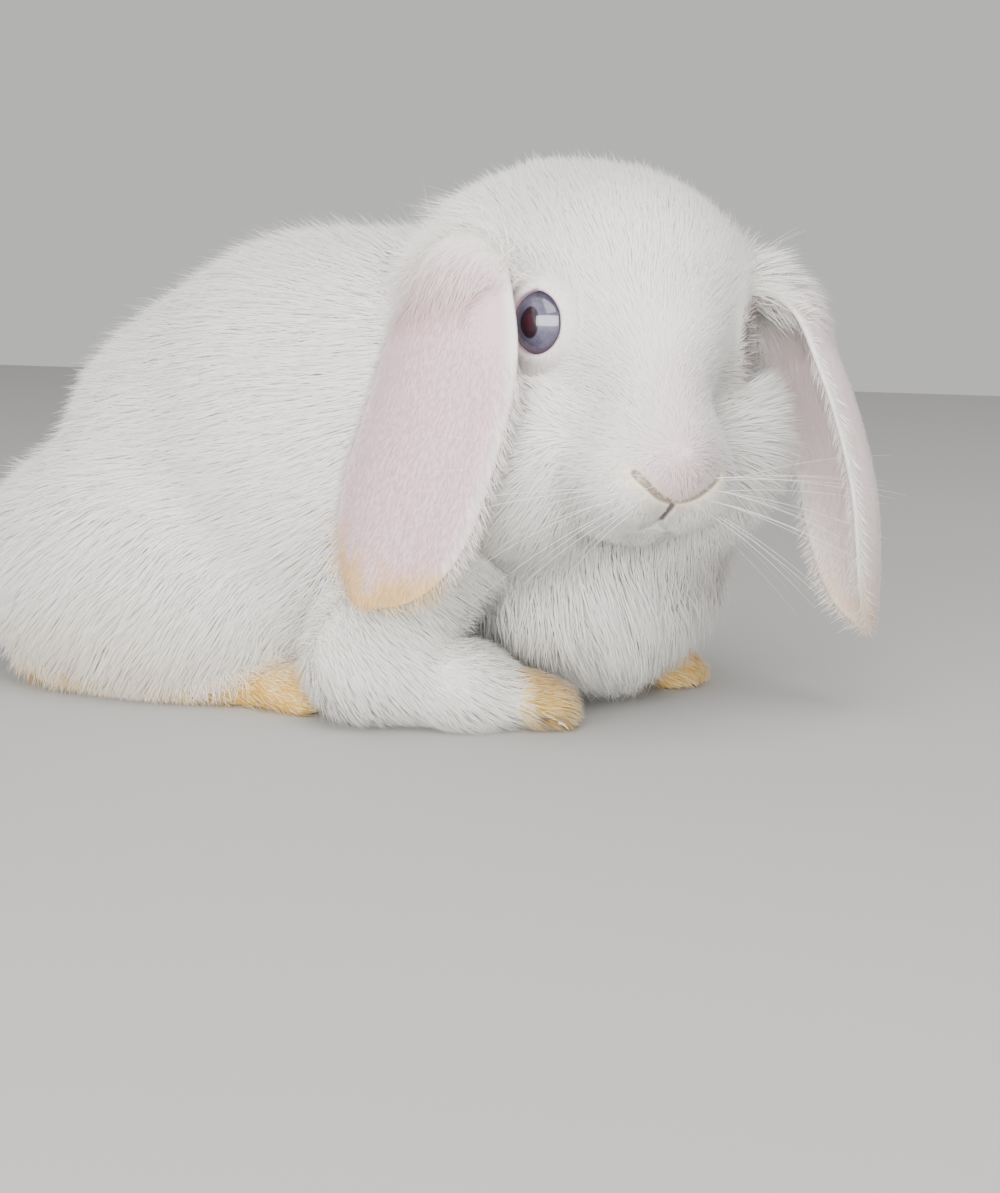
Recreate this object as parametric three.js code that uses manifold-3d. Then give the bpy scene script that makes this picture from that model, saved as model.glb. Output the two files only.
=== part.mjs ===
// A young lop-eared rabbit at life size, crouched on the floor with its head turned to its right.
// Millimetres, +Z up, the floor at Z = 0. The trunk faces -Y, so the animal's own left is +X.
// The solids reach out to the tips of the coat. One smooth field describes the whole body; each
// part is a sphere wrapped onto that field and parted from its neighbours with thin curved cuts.
import * as THREE from "three";
import { LoftGeometry } from "three/addons/geometries/LoftGeometry.js";
import { mergeVertices } from "three/addons/utils/BufferGeometryUtils.js";
import Module from "manifold-3d";

const wasm = await Module();
wasm.setup();

// ---- Driving dimensions -------------------------------------------------------------------
const GAP = 0.3; // clearance left by each cut between two parts
const OVERSHOOT = 11; // how far a wrapped part runs past its own cut before it is trimmed

const TRUNK_LENGTH = 172; // breast to rump
const TRUNK_HEIGHT = 99; // floor to the top of the arched back
const TRUNK_WIDTH = 84;
const HEAD_WIDTH = 75;
const HEAD_CENTRE = [-4, -62, 72];
const HEAD_YAW = -43; // degrees, turned to the animal's right
const HEAD_ROLL = 4; // degrees, the left side held a little lower
const EYE_RADIUS = 8;
const EAR_WIDTH = 34;
const EAR_THICKNESS = 3.4;

// ---- Small helpers ------------------------------------------------------------------------
const radians = THREE.MathUtils.degToRad;
const point = (x, y, z) => new THREE.Vector3(x, y, z);
// A point given by how far it is to the animal's left, forward and up.
const spot = (left, forward, up) => point(left, -forward, up);

// A frame at a place, turned about Z by yaw and then rolled about its own forward axis.
function frameAt(place, yaw = 0, roll = 0) {
  const turn = new THREE.Euler(0, radians(roll), radians(yaw), "ZYX");
  return new THREE.Matrix4().makeRotationFromEuler(turn).setPosition(...place);
}

// ---- Fields: distance to a surface in millimetres, negative inside --------------------------
function egg(centre, [rx, ry, rz]) {
  return (p) => {
    const x = (p.x - centre.x) / rx;
    const y = (p.y - centre.y) / ry;
    const z = (p.z - centre.z) / rz;
    const reach = Math.hypot(x, y, z);
    const slope = Math.hypot(x / rx, y / ry, z / rz);
    return slope > 1e-9 ? (reach * (reach - 1)) / slope : -Math.min(rx, ry, rz);
  };
}

// A tapered limb with round ends.
function limb(from, to, fromRadius, toRadius) {
  const axis = to.clone().sub(from);
  const offset = point(0, 0, 0);
  return (p) => {
    const along = offset.copy(p).sub(from).dot(axis) / axis.lengthSq();
    const t = THREE.MathUtils.clamp(along, 0, 1);
    return offset.addScaledVector(axis, -t).length() - THREE.MathUtils.lerp(fromRadius, toRadius, t);
  };
}

// A field given in a frame's own axes.
function within(frame, field) {
  const inverse = frame.clone().invert();
  const local = point(0, 0, 0);
  return (p) => field(local.copy(p).applyMatrix4(inverse));
}

function softMin(a, b, soft) {
  const near = Math.max(soft - Math.abs(a - b), 0) / soft;
  return Math.min(a, b) - near * near * soft * 0.25;
}

// Fields flow into each other where they come within `soft` millimetres.
const joined = (soft, ...fields) => (p) => fields.reduce((sum, f) => softMin(sum, f(p), soft), 1e6);
const hollowed = (soft, field, hollow) => (p) => -softMin(-field(p), hollow(p), soft);
const overlap = (a, b) => (p) => Math.max(a(p), b(p));
const bothSides = (make) => [make(-1), make(1)];

// ---- The head, in its own frame: origin between the ears and the jaw --------------------------
const headFrame = frameAt(HEAD_CENTRE, HEAD_YAW, HEAD_ROLL);
const halfHead = HEAD_WIDTH / 2;

function skullField() {
  const cranium = egg(spot(0, -3, 9), [halfHead - 4.5, 32, 29]);
  const crown = egg(spot(0, -6, 14), [halfHead - 2, 24, 23.5]);
  const forehead = egg(spot(0, 14, 10), [24, 22, 25]);
  const bridge = limb(spot(0, 27, 4), spot(0, 33, -14), 11, 8.5);
  return joined(8, cranium, crown, forehead, bridge);
}

function faceField() {
  const cheeks = bothSides((side) => egg(spot(side * 16, 7, -17), [halfHead - 16, 22, 23]));
  const muzzle = egg(spot(0, 26, -18), [15, 16, 13]);
  const pads = bothSides((side) => egg(spot(side * 6.5, 33, -22), [8.5, 9, 7.5]));
  const nose = egg(spot(0, 39, -18), [6, 4.5, 5.5]);
  const chin = egg(spot(0, 24, -28), [9, 9, 6]);
  return joined(7, ...cheeks, muzzle, joined(3, ...pads, nose), chin);
}

const eyePlace = (side) => spot(side * 16, 16.6, 6.4);
const eyeWell = (side) => egg(spot(side * 24.2, 22.2, 6.4), [6.6, 6.6, 6.6]);

function headField() {
  const solid = joined(8, skullField(), faceField());
  const wells = joined(1, ...bothSides(eyeWell));
  return within(headFrame, hollowed(2.5, solid, wells));
}

// ---- The body -------------------------------------------------------------------------------
function trunkField() {
  const half = TRUNK_WIDTH / 2;
  const rumpReach = 48;
  const barrel = egg(point(0, -4, TRUNK_HEIGHT / 2 - 1), [half, 54, TRUNK_HEIGHT / 2 + 1]);
  const loin = egg(point(0, 29, 42), [half - 3, 34, 40]);
  const rump = egg(point(0, TRUNK_LENGTH / 2 - rumpReach, 28), [half - 2, rumpReach, 30]);
  const breast = egg(point(8, -57, 37), [34, 32, 35]);
  return joined(12, barrel, loin, rump, breast);
}

const neckField = () => limb(point(0, -30, 64), point(-3, -50, 66), 30, 30);
const thighField = (side) => egg(point(side * 26, 32, 24), [20, 42, 29]);
const footField = (side) => limb(point(side * 29, 54, 5), point(side * 28, -8, 4), 7.5, 7.5);

const FORELEGS = {
  right: { shoulder: [-23, -34, 36], elbow: [-33, -26, 13], wrist: [-29, -46, 8], toes: [-23, -61, 4] },
  left: { shoulder: [24, -44, 38], elbow: [33, -36, 14], wrist: [29, -55, 8], toes: [26, -70, 4] },
};

function forelegField({ shoulder, elbow, wrist }) {
  const upperArm = limb(point(...shoulder), point(...elbow), 16, 12.5);
  const forearm = limb(point(...elbow), point(...wrist), 12.5, 9.5);
  return joined(8, upperArm, forearm);
}

const pawField = ({ wrist, toes }) => limb(point(...wrist), point(...toes), 9.5, 5.5);
const tailField = () => egg(point(0, TRUNK_LENGTH / 2 + 2, 25), [11, 10, 13]);

const flesh = [
  // field, and how softly it flows into the rest
  [trunkField(), 10],
  [neckField(), 16],
  [headField(), 9],
  [tailField(), 5],
  [forelegField(FORELEGS.right), 9],
  [forelegField(FORELEGS.left), 9],
  [pawField(FORELEGS.right), 4],
  [pawField(FORELEGS.left), 4],
  ...bothSides((side) => [thighField(side), 9]),
  ...bothSides((side) => [footField(side), 4]),
].reduce((sum, [field, soft]) => (p) => softMin(sum(p), field(p), soft), () => 1e6);

// ---- Wrapping and cutting -------------------------------------------------------------------
function solidOf(geometry) {
  geometry.deleteAttribute("uv");
  geometry.deleteAttribute("normal");
  const merged = mergeVertices(geometry, 1e-4);
  return new wasm.Manifold(new wasm.Mesh({
    numProp: 3,
    vertProperties: merged.getAttribute("position").array,
    triVerts: new Uint32Array(merged.index.array),
  }));
}

function geometryOf(solid) {
  const { vertProperties, triVerts } = solid.getMesh();
  const geometry = new THREE.BufferGeometry();
  geometry.setAttribute("position", new THREE.BufferAttribute(vertProperties, 3));
  geometry.setIndex(new THREE.BufferAttribute(triVerts, 1));
  return geometry.toNonIndexed();
}

const largestBody = (solid) => solid.decompose().sort((a, b) => b.volume() - a.volume())[0];

// A sphere of directions, spread as for a body of these radii, pushed out from a frame's origin
// along each direction until it leaves the field.
function wrap(field, frame, radii, [around, along]) {
  const geometry = new THREE.SphereGeometry(1, around, along);
  geometry.deleteAttribute("uv");
  geometry.deleteAttribute("normal");
  const wrapped = mergeVertices(geometry, 1e-5);
  const positions = wrapped.getAttribute("position");
  const centre = point(0, 0, 0).setFromMatrixPosition(frame);
  const turn = new THREE.Matrix4().extractRotation(frame);
  const reached = point(0, 0, 0);
  for (let i = 0; i < positions.count; i += 1) {
    const direction = point(0, 0, 0).fromBufferAttribute(positions, i);
    direction.multiply(point(...radii)).normalize().applyMatrix4(turn);
    const at = (distance) => field(reached.copy(centre).addScaledVector(direction, distance));
    let inside = 0;
    let outside = 0.5;
    while (at(outside) < 0) {
      inside = outside;
      outside += Math.max(0.4, -0.6 * at(inside));
    }
    for (let halving = 0; halving < 20; halving += 1) {
      const middle = (inside + outside) / 2;
      if (at(middle) < 0) inside = middle;
      else outside = middle;
    }
    positions.setXYZ(i, reached.x, reached.y, reached.z);
  }
  return wrapped;
}

// A cell is a plain egg whose surface crosses the body where one part ends and the next begins.
function cellSolid({ frame, centre, radii }, swell) {
  const [rx, ry, rz] = radii;
  const ball = new THREE.SphereGeometry(1, 16, 9);
  ball.scale(rx + swell, ry + swell, rz + swell);
  ball.translate(centre.x, centre.y, centre.z).applyMatrix4(frame);
  return solidOf(ball);
}

const cellField = ({ frame, centre, radii }, swell) => {
  const swollen = radii.map((radius) => radius + swell);
  return within(frame, egg(centre, swollen));
};

// Everything above the floor.
const aboveFloor = solidOf(new THREE.BoxGeometry(600, 600, 300).translate(0, 0, 150));

// ---- Ears: cupped leaves that hang from the sides of the crown --------------------------------
const EARS = {
  right: {
    line: [spot(-26, 2, 23), spot(-35, 10, 18), spot(-41, 15.5, -8), spot(-45.5, 14, -28), spot(-49.5, 10, -48)],
    facing: -60, // degrees from straight ahead
    curl: [60, 34], // half the angle of its cup, at the root and lower down
  },
  left: {
    line: [spot(26, 0, 20), spot(37, 8, 16), spot(45.5, 16, -1), spot(52.5, 21, -23), spot(57, 21, -51)],
    facing: 80,
    curl: [66, 58],
  },
};

function earSections({ line, facing, curl }, swell) {
  const curve = new THREE.CatmullRomCurve3(line, false, "centripetal");
  const sideways = spot(Math.sin(radians(facing)), Math.cos(radians(facing)), 0);
  const up = spot(0, 0, 1);
  const rows = 15;
  const across = 6;
  const sections = [];
  for (let row = 0; row <= rows; row += 1) {
    const t = row / rows;
    const down = curve.getTangentAt(t);
    const middle = curve.getPointAt(t).addScaledVector(down, (2 * t - 1) * swell);
    const faced = up.clone().lerp(sideways, THREE.MathUtils.smoothstep(t, 0, 0.3));
    const outward = faced.addScaledVector(down, -faced.dot(down)).normalize();
    const chord = down.clone().cross(outward).normalize();
    const opened = THREE.MathUtils.smoothstep(t, 0, 0.45);
    const rounded = Math.sqrt(Math.max(1 - Math.max((t - 0.68) / 0.32, 0) ** 2.2, 0.03));
    const halfWidth = (EAR_WIDTH / 2) * THREE.MathUtils.lerp(0.5, 1, opened) * rounded;
    const halfCurl = radians(THREE.MathUtils.lerp(curl[0], curl[1], opened));
    const halfThick = (EAR_THICKNESS / 2) * THREE.MathUtils.lerp(1.3, 0.8, t);
    const bend = halfWidth / halfCurl;
    const onCup = (u, face) => {
      const lift = face * (halfThick * Math.sqrt(1 - 0.85 * u * u) + swell);
      const angle = u * (halfCurl + swell / bend);
      const swing = outward.clone().multiplyScalar(Math.cos(angle));
      swing.addScaledVector(chord, Math.sin(angle));
      return middle.clone().addScaledVector(outward, -bend).addScaledVector(swing, bend + lift);
    };
    const steps = Array.from({ length: across + 1 }, (_, i) => (2 * i) / across - 1);
    const outer = steps.map((u) => onCup(u, 1));
    const inner = steps.map((u) => onCup(-u, -1));
    sections.push([...outer, ...inner]);
  }
  return sections;
}

function earSolid(side, swell) {
  const loft = new LoftGeometry(earSections(EARS[side], swell), { capStart: true, capEnd: true });
  const solid = solidOf(loft.applyMatrix4(headFrame));
  return solid;
}

function eyeSolid(side, swell) {
  const { x, y, z } = eyePlace(side === "left" ? 1 : -1);
  const ball = new THREE.SphereGeometry(EYE_RADIUS + swell, 14, 10);
  return solidOf(ball.translate(x, y, z).applyMatrix4(headFrame));
}

// ---- Materials --------------------------------------------------------------------------------
const finish = (color, roughness) => new THREE.MeshStandardMaterial({ color, roughness, metalness: 0 });
const MATERIALS = {
  coat: finish(0xeeece6, 0.95),
  stained_coat: finish(0xe6c98a, 0.95),
  ear_coat: finish(0xe9d6da, 0.9),
  eye: finish(0x77789a, 0.1),
};

// ---- Parts, in the order in which they are cut free ---------------------------------------------
const upright = (x, y, z, yaw = 0) => frameAt([x, y, z], yaw);
const PARTS = [];

for (const side of ["right", "left"]) {
  const { wrist, toes } = FORELEGS[side];
  const [x, y, z] = toes;
  const yaw = THREE.MathUtils.radToDeg(Math.atan2(x - wrist[0], wrist[1] - y));
  PARTS.push({
    name: `forepaw_${side}`,
    frame: upright(x, y + 5, z + 3, yaw),
    cell: { frame: upright(x, y, z, yaw), centre: spot(0, 3, 0), radii: [11, 16, 11] },
    radii: [9, 12, 9],
    fineness: [16, 10],
    material: "stained_coat",
  });
}
for (const [side, sign] of [["right", -1], ["left", 1]]) {
  PARTS.push({
    name: `hind_foot_${side}`,
    frame: upright(sign * 28.5, 20, 5),
    cell: { frame: upright(sign * 33, 20, 0), centre: spot(0, 0, 0), radii: [15, 48, 11] },
    radii: [9, 38, 9],
    fineness: [14, 12],
    material: "stained_coat",
  });
}
PARTS.push({
  name: "head",
  frame: headFrame.clone().multiply(new THREE.Matrix4().setPosition(spot(0, 7, -9))),
  cell: { frame: headFrame, centre: spot(0, 30, 12), radii: [72, 62, 54] },
  radii: [34, 36, 36],
  fineness: [36, 24],
  material: "coat",
});
for (const [side, sign] of [["right", -1], ["left", 1]]) {
  const [x, y] = FORELEGS[side].elbow;
  PARTS.push({
    name: `foreleg_${side}`,
    frame: upright(x - sign * 4, y - 6, 18),
    cell: { frame: upright(x + sign * 3, y - 11, 13), centre: spot(0, 0, 0), radii: [22, 27, 28] },
    radii: [14, 22, 22],
    fineness: [14, 10],
    material: "coat",
  });
}
for (const [side, sign] of [["right", -1], ["left", 1]]) {
  PARTS.push({
    name: `thigh_${side}`,
    frame: upright(sign * 28, 32, 26),
    cell: { frame: upright(sign * 46, 32, 22), centre: spot(0, 0, 0), radii: [32, 42, 36] },
    radii: [18, 38, 34],
    fineness: [18, 12],
    material: "coat",
  });
}
PARTS.push({
  name: "neck",
  frame: upright(12, -28, 70, -22),
  cell: { frame: upright(4, -40, 66, -22), centre: spot(0, 44, 34), radii: [72, 70, 60] },
  radii: [34, 28, 34],
  fineness: [24, 14],
  material: "coat",
});
PARTS.push({
  name: "tail",
  frame: upright(0, TRUNK_LENGTH / 2 + 3, 25),
  cell: { frame: upright(0, TRUNK_LENGTH / 2 + 9, 25), centre: spot(0, 0, 0), radii: [15, 13, 17] },
  radii: [11, 9, 13],
  fineness: [12, 8],
  material: "coat",
});
PARTS.push({
  name: "trunk",
  frame: upright(0, 2, 46),
  radii: [42, 82, 48],
  fineness: [28, 18],
  material: "coat",
});

// ---- Assembly -------------------------------------------------------------------------------------
const rabbit = new THREE.Group();
const taken = [];
const takenCells = [];

function addPart(name, solid, material) {
  const mesh = new THREE.Mesh(geometryOf(solid), MATERIALS[material]);
  mesh.name = name;
  rabbit.add(mesh);
}

for (const side of ["right", "left"]) {
  addPart(`eye_${side}`, eyeSolid(side, 0), "eye");
  addPart(`ear_${side}`, earSolid(side, 0), "ear_coat");
  taken.push(eyeSolid(side, GAP), earSolid(side, 2 * GAP));
}
for (const { name, frame, cell, radii, fineness, material } of PARTS) {
  const outsideTaken = (p) => Math.max(...takenCells.map((taken) => -OVERSHOOT - taken(p)), -Infinity);
  const free = overlap(flesh, outsideTaken);
  const reach = cell ? overlap(free, cellField(cell, OVERSHOOT)) : free;
  const whole = solidOf(wrap(reach, frame, radii, fineness)).intersect(aboveFloor);
  const own = cell ? whole.intersect(cellSolid(cell, 0)) : whole;
  addPart(name, largestBody(taken.reduce((left, other) => left.subtract(other), own)), material);
  if (cell) {
    taken.push(cellSolid(cell, GAP));
    takenCells.push(cellField(cell, 0));
  }
}

export default rabbit;
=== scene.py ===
"""A young white lop rabbit, crouched with its head turned to its right.

One skin covers the whole body, eyes and claws sit in it, and the coat is grown over it as thin
solid tufts that follow the lie of the hair. Fields and sizes are in millimetres, meshes in metres.
"""
import math
from dataclasses import dataclass

import bmesh
import bpy
import numpy as np
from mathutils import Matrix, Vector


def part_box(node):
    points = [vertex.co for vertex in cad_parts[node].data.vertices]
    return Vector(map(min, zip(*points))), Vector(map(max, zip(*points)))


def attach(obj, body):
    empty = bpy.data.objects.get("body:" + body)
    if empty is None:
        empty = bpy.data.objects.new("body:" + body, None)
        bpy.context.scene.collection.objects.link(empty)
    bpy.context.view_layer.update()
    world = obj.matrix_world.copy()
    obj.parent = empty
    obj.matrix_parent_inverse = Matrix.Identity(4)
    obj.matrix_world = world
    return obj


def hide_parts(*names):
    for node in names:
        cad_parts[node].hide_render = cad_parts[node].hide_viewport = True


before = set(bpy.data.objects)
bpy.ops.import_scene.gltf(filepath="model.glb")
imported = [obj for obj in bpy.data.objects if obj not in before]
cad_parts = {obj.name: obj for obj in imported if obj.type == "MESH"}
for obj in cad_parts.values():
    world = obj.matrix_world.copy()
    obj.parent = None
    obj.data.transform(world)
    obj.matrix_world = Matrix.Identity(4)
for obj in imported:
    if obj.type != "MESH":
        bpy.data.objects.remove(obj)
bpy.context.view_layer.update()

import openvdb
from mathutils import Vector, kdtree

bl_info = {
    "name": "Lop Rabbit",
    "version": (1, 0, 0),
    "blender": (4, 5, 0),
    "location": "3D View > Sidebar > Rabbit",
    "description": "Builds a crouched lop rabbit: skin, eyes, claws, whiskers and a coat of solid tufts",
    "category": "Object",
}

MM = 0.001
SEED = 20260

# ---- Driving dimensions, in millimetres ----
TRUNK_LENGTH = 172
TRUNK_HEIGHT = 99
TRUNK_WIDTH = 84
HEAD_WIDTH = 75
HEAD_CENTRE = np.array([-4.0, -62.0, 72.0])
HEAD_YAW = -43
HEAD_ROLL = 4
EYE_RADIUS = 8.0
EAR_WIDTH = 34
EAR_THICKNESS = 3.4


# ---- Colours ----
def linear(code):
    """An sRGB hex value as linear red, green and blue."""
    parts = [int(code[i : i + 2], 16) / 255 for i in (1, 3, 5)]
    return tuple(c / 12.92 if c <= 0.04045 else ((c + 0.055) / 1.055) ** 2.4 for c in parts)


def opaque(code):
    return (*linear(code), 1.0)


# ---- Small helpers ----
def spot(left, forward, up):
    """A point given by how far it is to the animal's left, forward and up."""
    return np.array([left, -forward, up], float)


def dot(a, b):
    return np.einsum("...i,...i->...", a, b)


def turn(vectors, axes):
    """Row vectors times a 3 by 3 matrix."""
    return np.einsum("...i,ij->...j", vectors, axes)


def size_of(vectors):
    return np.sqrt(dot(vectors, vectors))


def unit(vectors):
    return vectors / np.maximum(size_of(vectors), 1e-9)[..., None]


def smooth_step(value, low, high):
    t = np.clip((value - low) / (high - low), 0, 1)
    return t * t * (3 - 2 * t)


def mix(a, b, share):
    return a + (b - a) * share


def tangent(directions, normals):
    """The part of each direction that lies along the surface."""
    return unit(directions - dot(directions, normals)[..., None] * normals)


def wander(points, scale, seed):
    """Smooth noise from -1 to 1 with bumps about `scale` millimetres apart."""
    q = points / scale + 100.0
    cell = np.floor(q).astype(np.int64)
    f = q - cell
    f = f * f * (3 - 2 * f)
    total = np.zeros(len(points))
    for dx in (0, 1):
        for dy in (0, 1):
            for dz in (0, 1):
                x, y, z = (cell + (dx, dy, dz)).T
                # A hash of each corner of the cell gives the value there.
                h = (x * 73856093) ^ (y * 19349663) ^ (z * 83492791) ^ (seed * 2654435761)
                h = (h ^ (h >> 13)) * 1274126177
                value = ((h >> 7) & 0xFFFF) / 32767.5 - 1
                share = np.where(dx, f[:, 0], 1 - f[:, 0])
                share = share * np.where(dy, f[:, 1], 1 - f[:, 1])
                share = share * np.where(dz, f[:, 2], 1 - f[:, 2])
                total += value * share
    return total


def drift(points, scale, seed):
    """Smooth noise as a vector."""
    return np.stack([wander(points, scale, seed + i) for i in range(3)], -1)


# ---- Fields: distance to a surface, negative inside ----
# Every lobe of the body is given at the outline of its coat, with the depth of hair over it.
# `fluff` is 1 for the outline of the coat and 0 for the skin under it.
def egg(centre, radii, depth=0.0):
    def field(p, fluff=0.0):
        size = np.asarray(radii, float) - depth * (1 - fluff)
        q = (p - centre) / size
        reach = size_of(q)
        slope = size_of(q / size)
        return np.where(slope > 1e-7, reach * (reach - 1) / np.maximum(slope, 1e-7), -size.min())

    return field


def limb(start, end, start_radius, end_radius, depth=0.0):
    start, end = np.asarray(start, float), np.asarray(end, float)
    axis = end - start

    def field(p, fluff=0.0):
        t = np.clip(dot(p - start, axis) / dot(axis, axis), 0, 1)
        radius = mix(start_radius, end_radius, t) - depth * (1 - fluff)
        return size_of(p - start - t[..., None] * axis) - radius

    return field


def soft_min(a, b, soft):
    near = np.maximum(soft - np.abs(a - b), 0) / soft
    return np.minimum(a, b) - near * near * soft * 0.25


def joined(soft, *fields):
    def field(p, fluff=0.0):
        total = fields[0](p, fluff)
        for other in fields[1:]:
            total = soft_min(total, other(p, fluff), soft)
        return total

    return field


def hollowed(soft, solid, hollow):
    return lambda p, fluff=0.0: -soft_min(-solid(p, fluff), hollow(p, fluff), soft)


def turned(yaw, roll=0.0):
    """The axes of a frame turned about Z by yaw and rolled about its own forward axis."""
    cy, sy = math.cos(math.radians(yaw)), math.sin(math.radians(yaw))
    cr, sr = math.cos(math.radians(roll)), math.sin(math.radians(roll))
    about_z = np.array([[cy, -sy, 0], [sy, cy, 0], [0, 0, 1]])
    about_y = np.array([[cr, 0, sr], [0, 1, 0], [-sr, 0, cr]])
    return about_z @ about_y


HEAD_AXES = turned(HEAD_YAW, HEAD_ROLL)


def to_head(p):
    return turn(p - HEAD_CENTRE, HEAD_AXES)


def from_head(p):
    return turn(np.asarray(p), HEAD_AXES.T) + HEAD_CENTRE


def aimed_from_head(v):
    return turn(np.asarray(v), HEAD_AXES.T)


def in_head(field):
    return lambda p, fluff=0.0: field(to_head(p), fluff)


# ---- Eyes ----
LID_AZIMUTH = 56  # degrees from straight ahead to the middle of the opening
PUPIL_AZIMUTH = 59
LID_HALF_WIDTH = 5.1
LID_HALF_HEIGHT = 5.9
LID_TILT = 8
LID_THICKNESS = 1.1


def eye_centre(side):
    return spot(side * 16, 16.6, 6.4)


def eye_axes(side, azimuth, tilt=0.0):
    """Sideways, up and out of an eye, in the head's frame. Sideways points away from the nose."""
    a = math.radians(azimuth)
    out = spot(side * math.sin(a), math.cos(a), 0)
    away = spot(side * math.cos(a), -math.sin(a), 0)
    up = spot(0, 0, 1)
    t = math.radians(tilt)
    return np.array([math.cos(t) * away + math.sin(t) * up, math.cos(t) * up - math.sin(t) * away, out])


def eye_opening(side):
    """A short oval shaft that parts the lids, in the head's frame."""
    axes = eye_axes(side, LID_AZIMUTH, LID_TILT)

    def field(p, fluff=0.0):
        across, high, out = turn(p - eye_centre(side), axes.T).T
        # The corner by the nose is drawn out a little.
        wide = np.where(across < 0, LID_HALF_WIDTH + 0.6, LID_HALF_WIDTH)
        oval = np.sqrt((across / wide) ** 2 + (high / LID_HALF_HEIGHT) ** 2) - 1
        return np.maximum(oval * LID_HALF_WIDTH, EYE_RADIUS * 0.62 - out)

    return field


def lid_mound(side):
    return egg(eye_centre(side), [EYE_RADIUS + LID_THICKNESS] * 3)


# ---- The head, in its own frame ----
half_head = HEAD_WIDTH / 2
SKULL = joined(
    8,
    egg(spot(0, -3, 9), [half_head - 4.5, 32, 29], 5.0),
    egg(spot(0, -6, 14), [half_head - 2, 24, 23.5], 5.0),
    egg(spot(0, 14, 10), [24, 22, 25], 3.5),
    limb(spot(0, 27, 4), spot(0, 33, -14), 11, 8.5, 2.0),
)
FACE = joined(
    7,
    *[egg(spot(side * 16, 7, -17), [half_head - 16, 22, 23], 4.5) for side in (-1, 1)],
    egg(spot(0, 26, -18), [15, 16, 13], 2.5),
    joined(
        3,
        *[egg(spot(side * 6.5, 33, -22), [8.5, 9, 7.5], 1.6) for side in (-1, 1)],
        egg(spot(0, 39, -18), [6, 4.5, 5.5], 0.7),
    ),
    egg(spot(0, 24, -28), [9, 9, 6], 2.0),
)


def head_field():
    solid = joined(8, SKULL, FACE)
    wells = joined(1, *[egg(spot(s * 24.2, 22.2, 6.4), [6.6] * 3) for s in (-1, 1)])
    furred = hollowed(2.5, solid, wells)

    def lidded(p, fluff=0.0):
        if fluff > 0.5:
            return furred(p, fluff)
        field = soft_min(solid(p, fluff), lid_mound(-1)(p), 5)
        field = soft_min(field, lid_mound(1)(p), 5)
        for side in (-1, 1):
            field = -soft_min(-field, eye_opening(side)(p), 0.8)
        return field

    return in_head(lidded)


# ---- Ears: cupped leaves that hang from the sides of the crown ----
@dataclass
class Ear:
    line: list
    facing: float
    curl: tuple


EARS = {
    -1: Ear(
        [(-26, 2, 23), (-35, 10, 18), (-41, 15.5, -8), (-45.5, 14, -28), (-49.5, 10, -48)], -60, (60, 34)
    ),
    1: Ear([(26, 0, 20), (37, 8, 16), (45.5, 16, -1), (52.5, 21, -23), (57, 21, -51)], 80, (66, 58)),
}
EAR_COAT = 0.55
EAR_STEPS = 45


def curve_points(corners, count):
    """A centripetal Catmull-Rom curve through the corners, as evenly spaced points."""
    ring = [2 * corners[0] - corners[1], *corners, 2 * corners[-1] - corners[-2]]
    chords = [np.linalg.norm(b - a) ** 0.5 for a, b in zip(ring, ring[1:])]
    knots = np.concatenate([[0], np.cumsum(chords)])
    dense = []
    for i in range(1, len(ring) - 2):
        t0, t1, t2, t3 = knots[i - 1 : i + 3]
        for t in np.linspace(t1, t2, 60, endpoint=i == len(ring) - 3):
            a1 = mix(ring[i - 1], ring[i], (t - t0) / (t1 - t0))
            a2 = mix(ring[i], ring[i + 1], (t - t1) / (t2 - t1))
            a3 = mix(ring[i + 1], ring[i + 2], (t - t2) / (t3 - t2))
            b1 = mix(a1, a2, (t - t0) / (t2 - t0))
            b2 = mix(a2, a3, (t - t1) / (t3 - t1))
            dense.append(mix(b1, b2, (t - t1) / (t2 - t1)))
    dense = np.array(dense)
    run = np.concatenate([[0], np.cumsum(np.linalg.norm(np.diff(dense, axis=0), axis=1))])
    wanted = np.linspace(0, run[-1], count)
    return np.stack([np.interp(wanted, run, dense[:, k]) for k in range(3)], -1)


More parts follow.
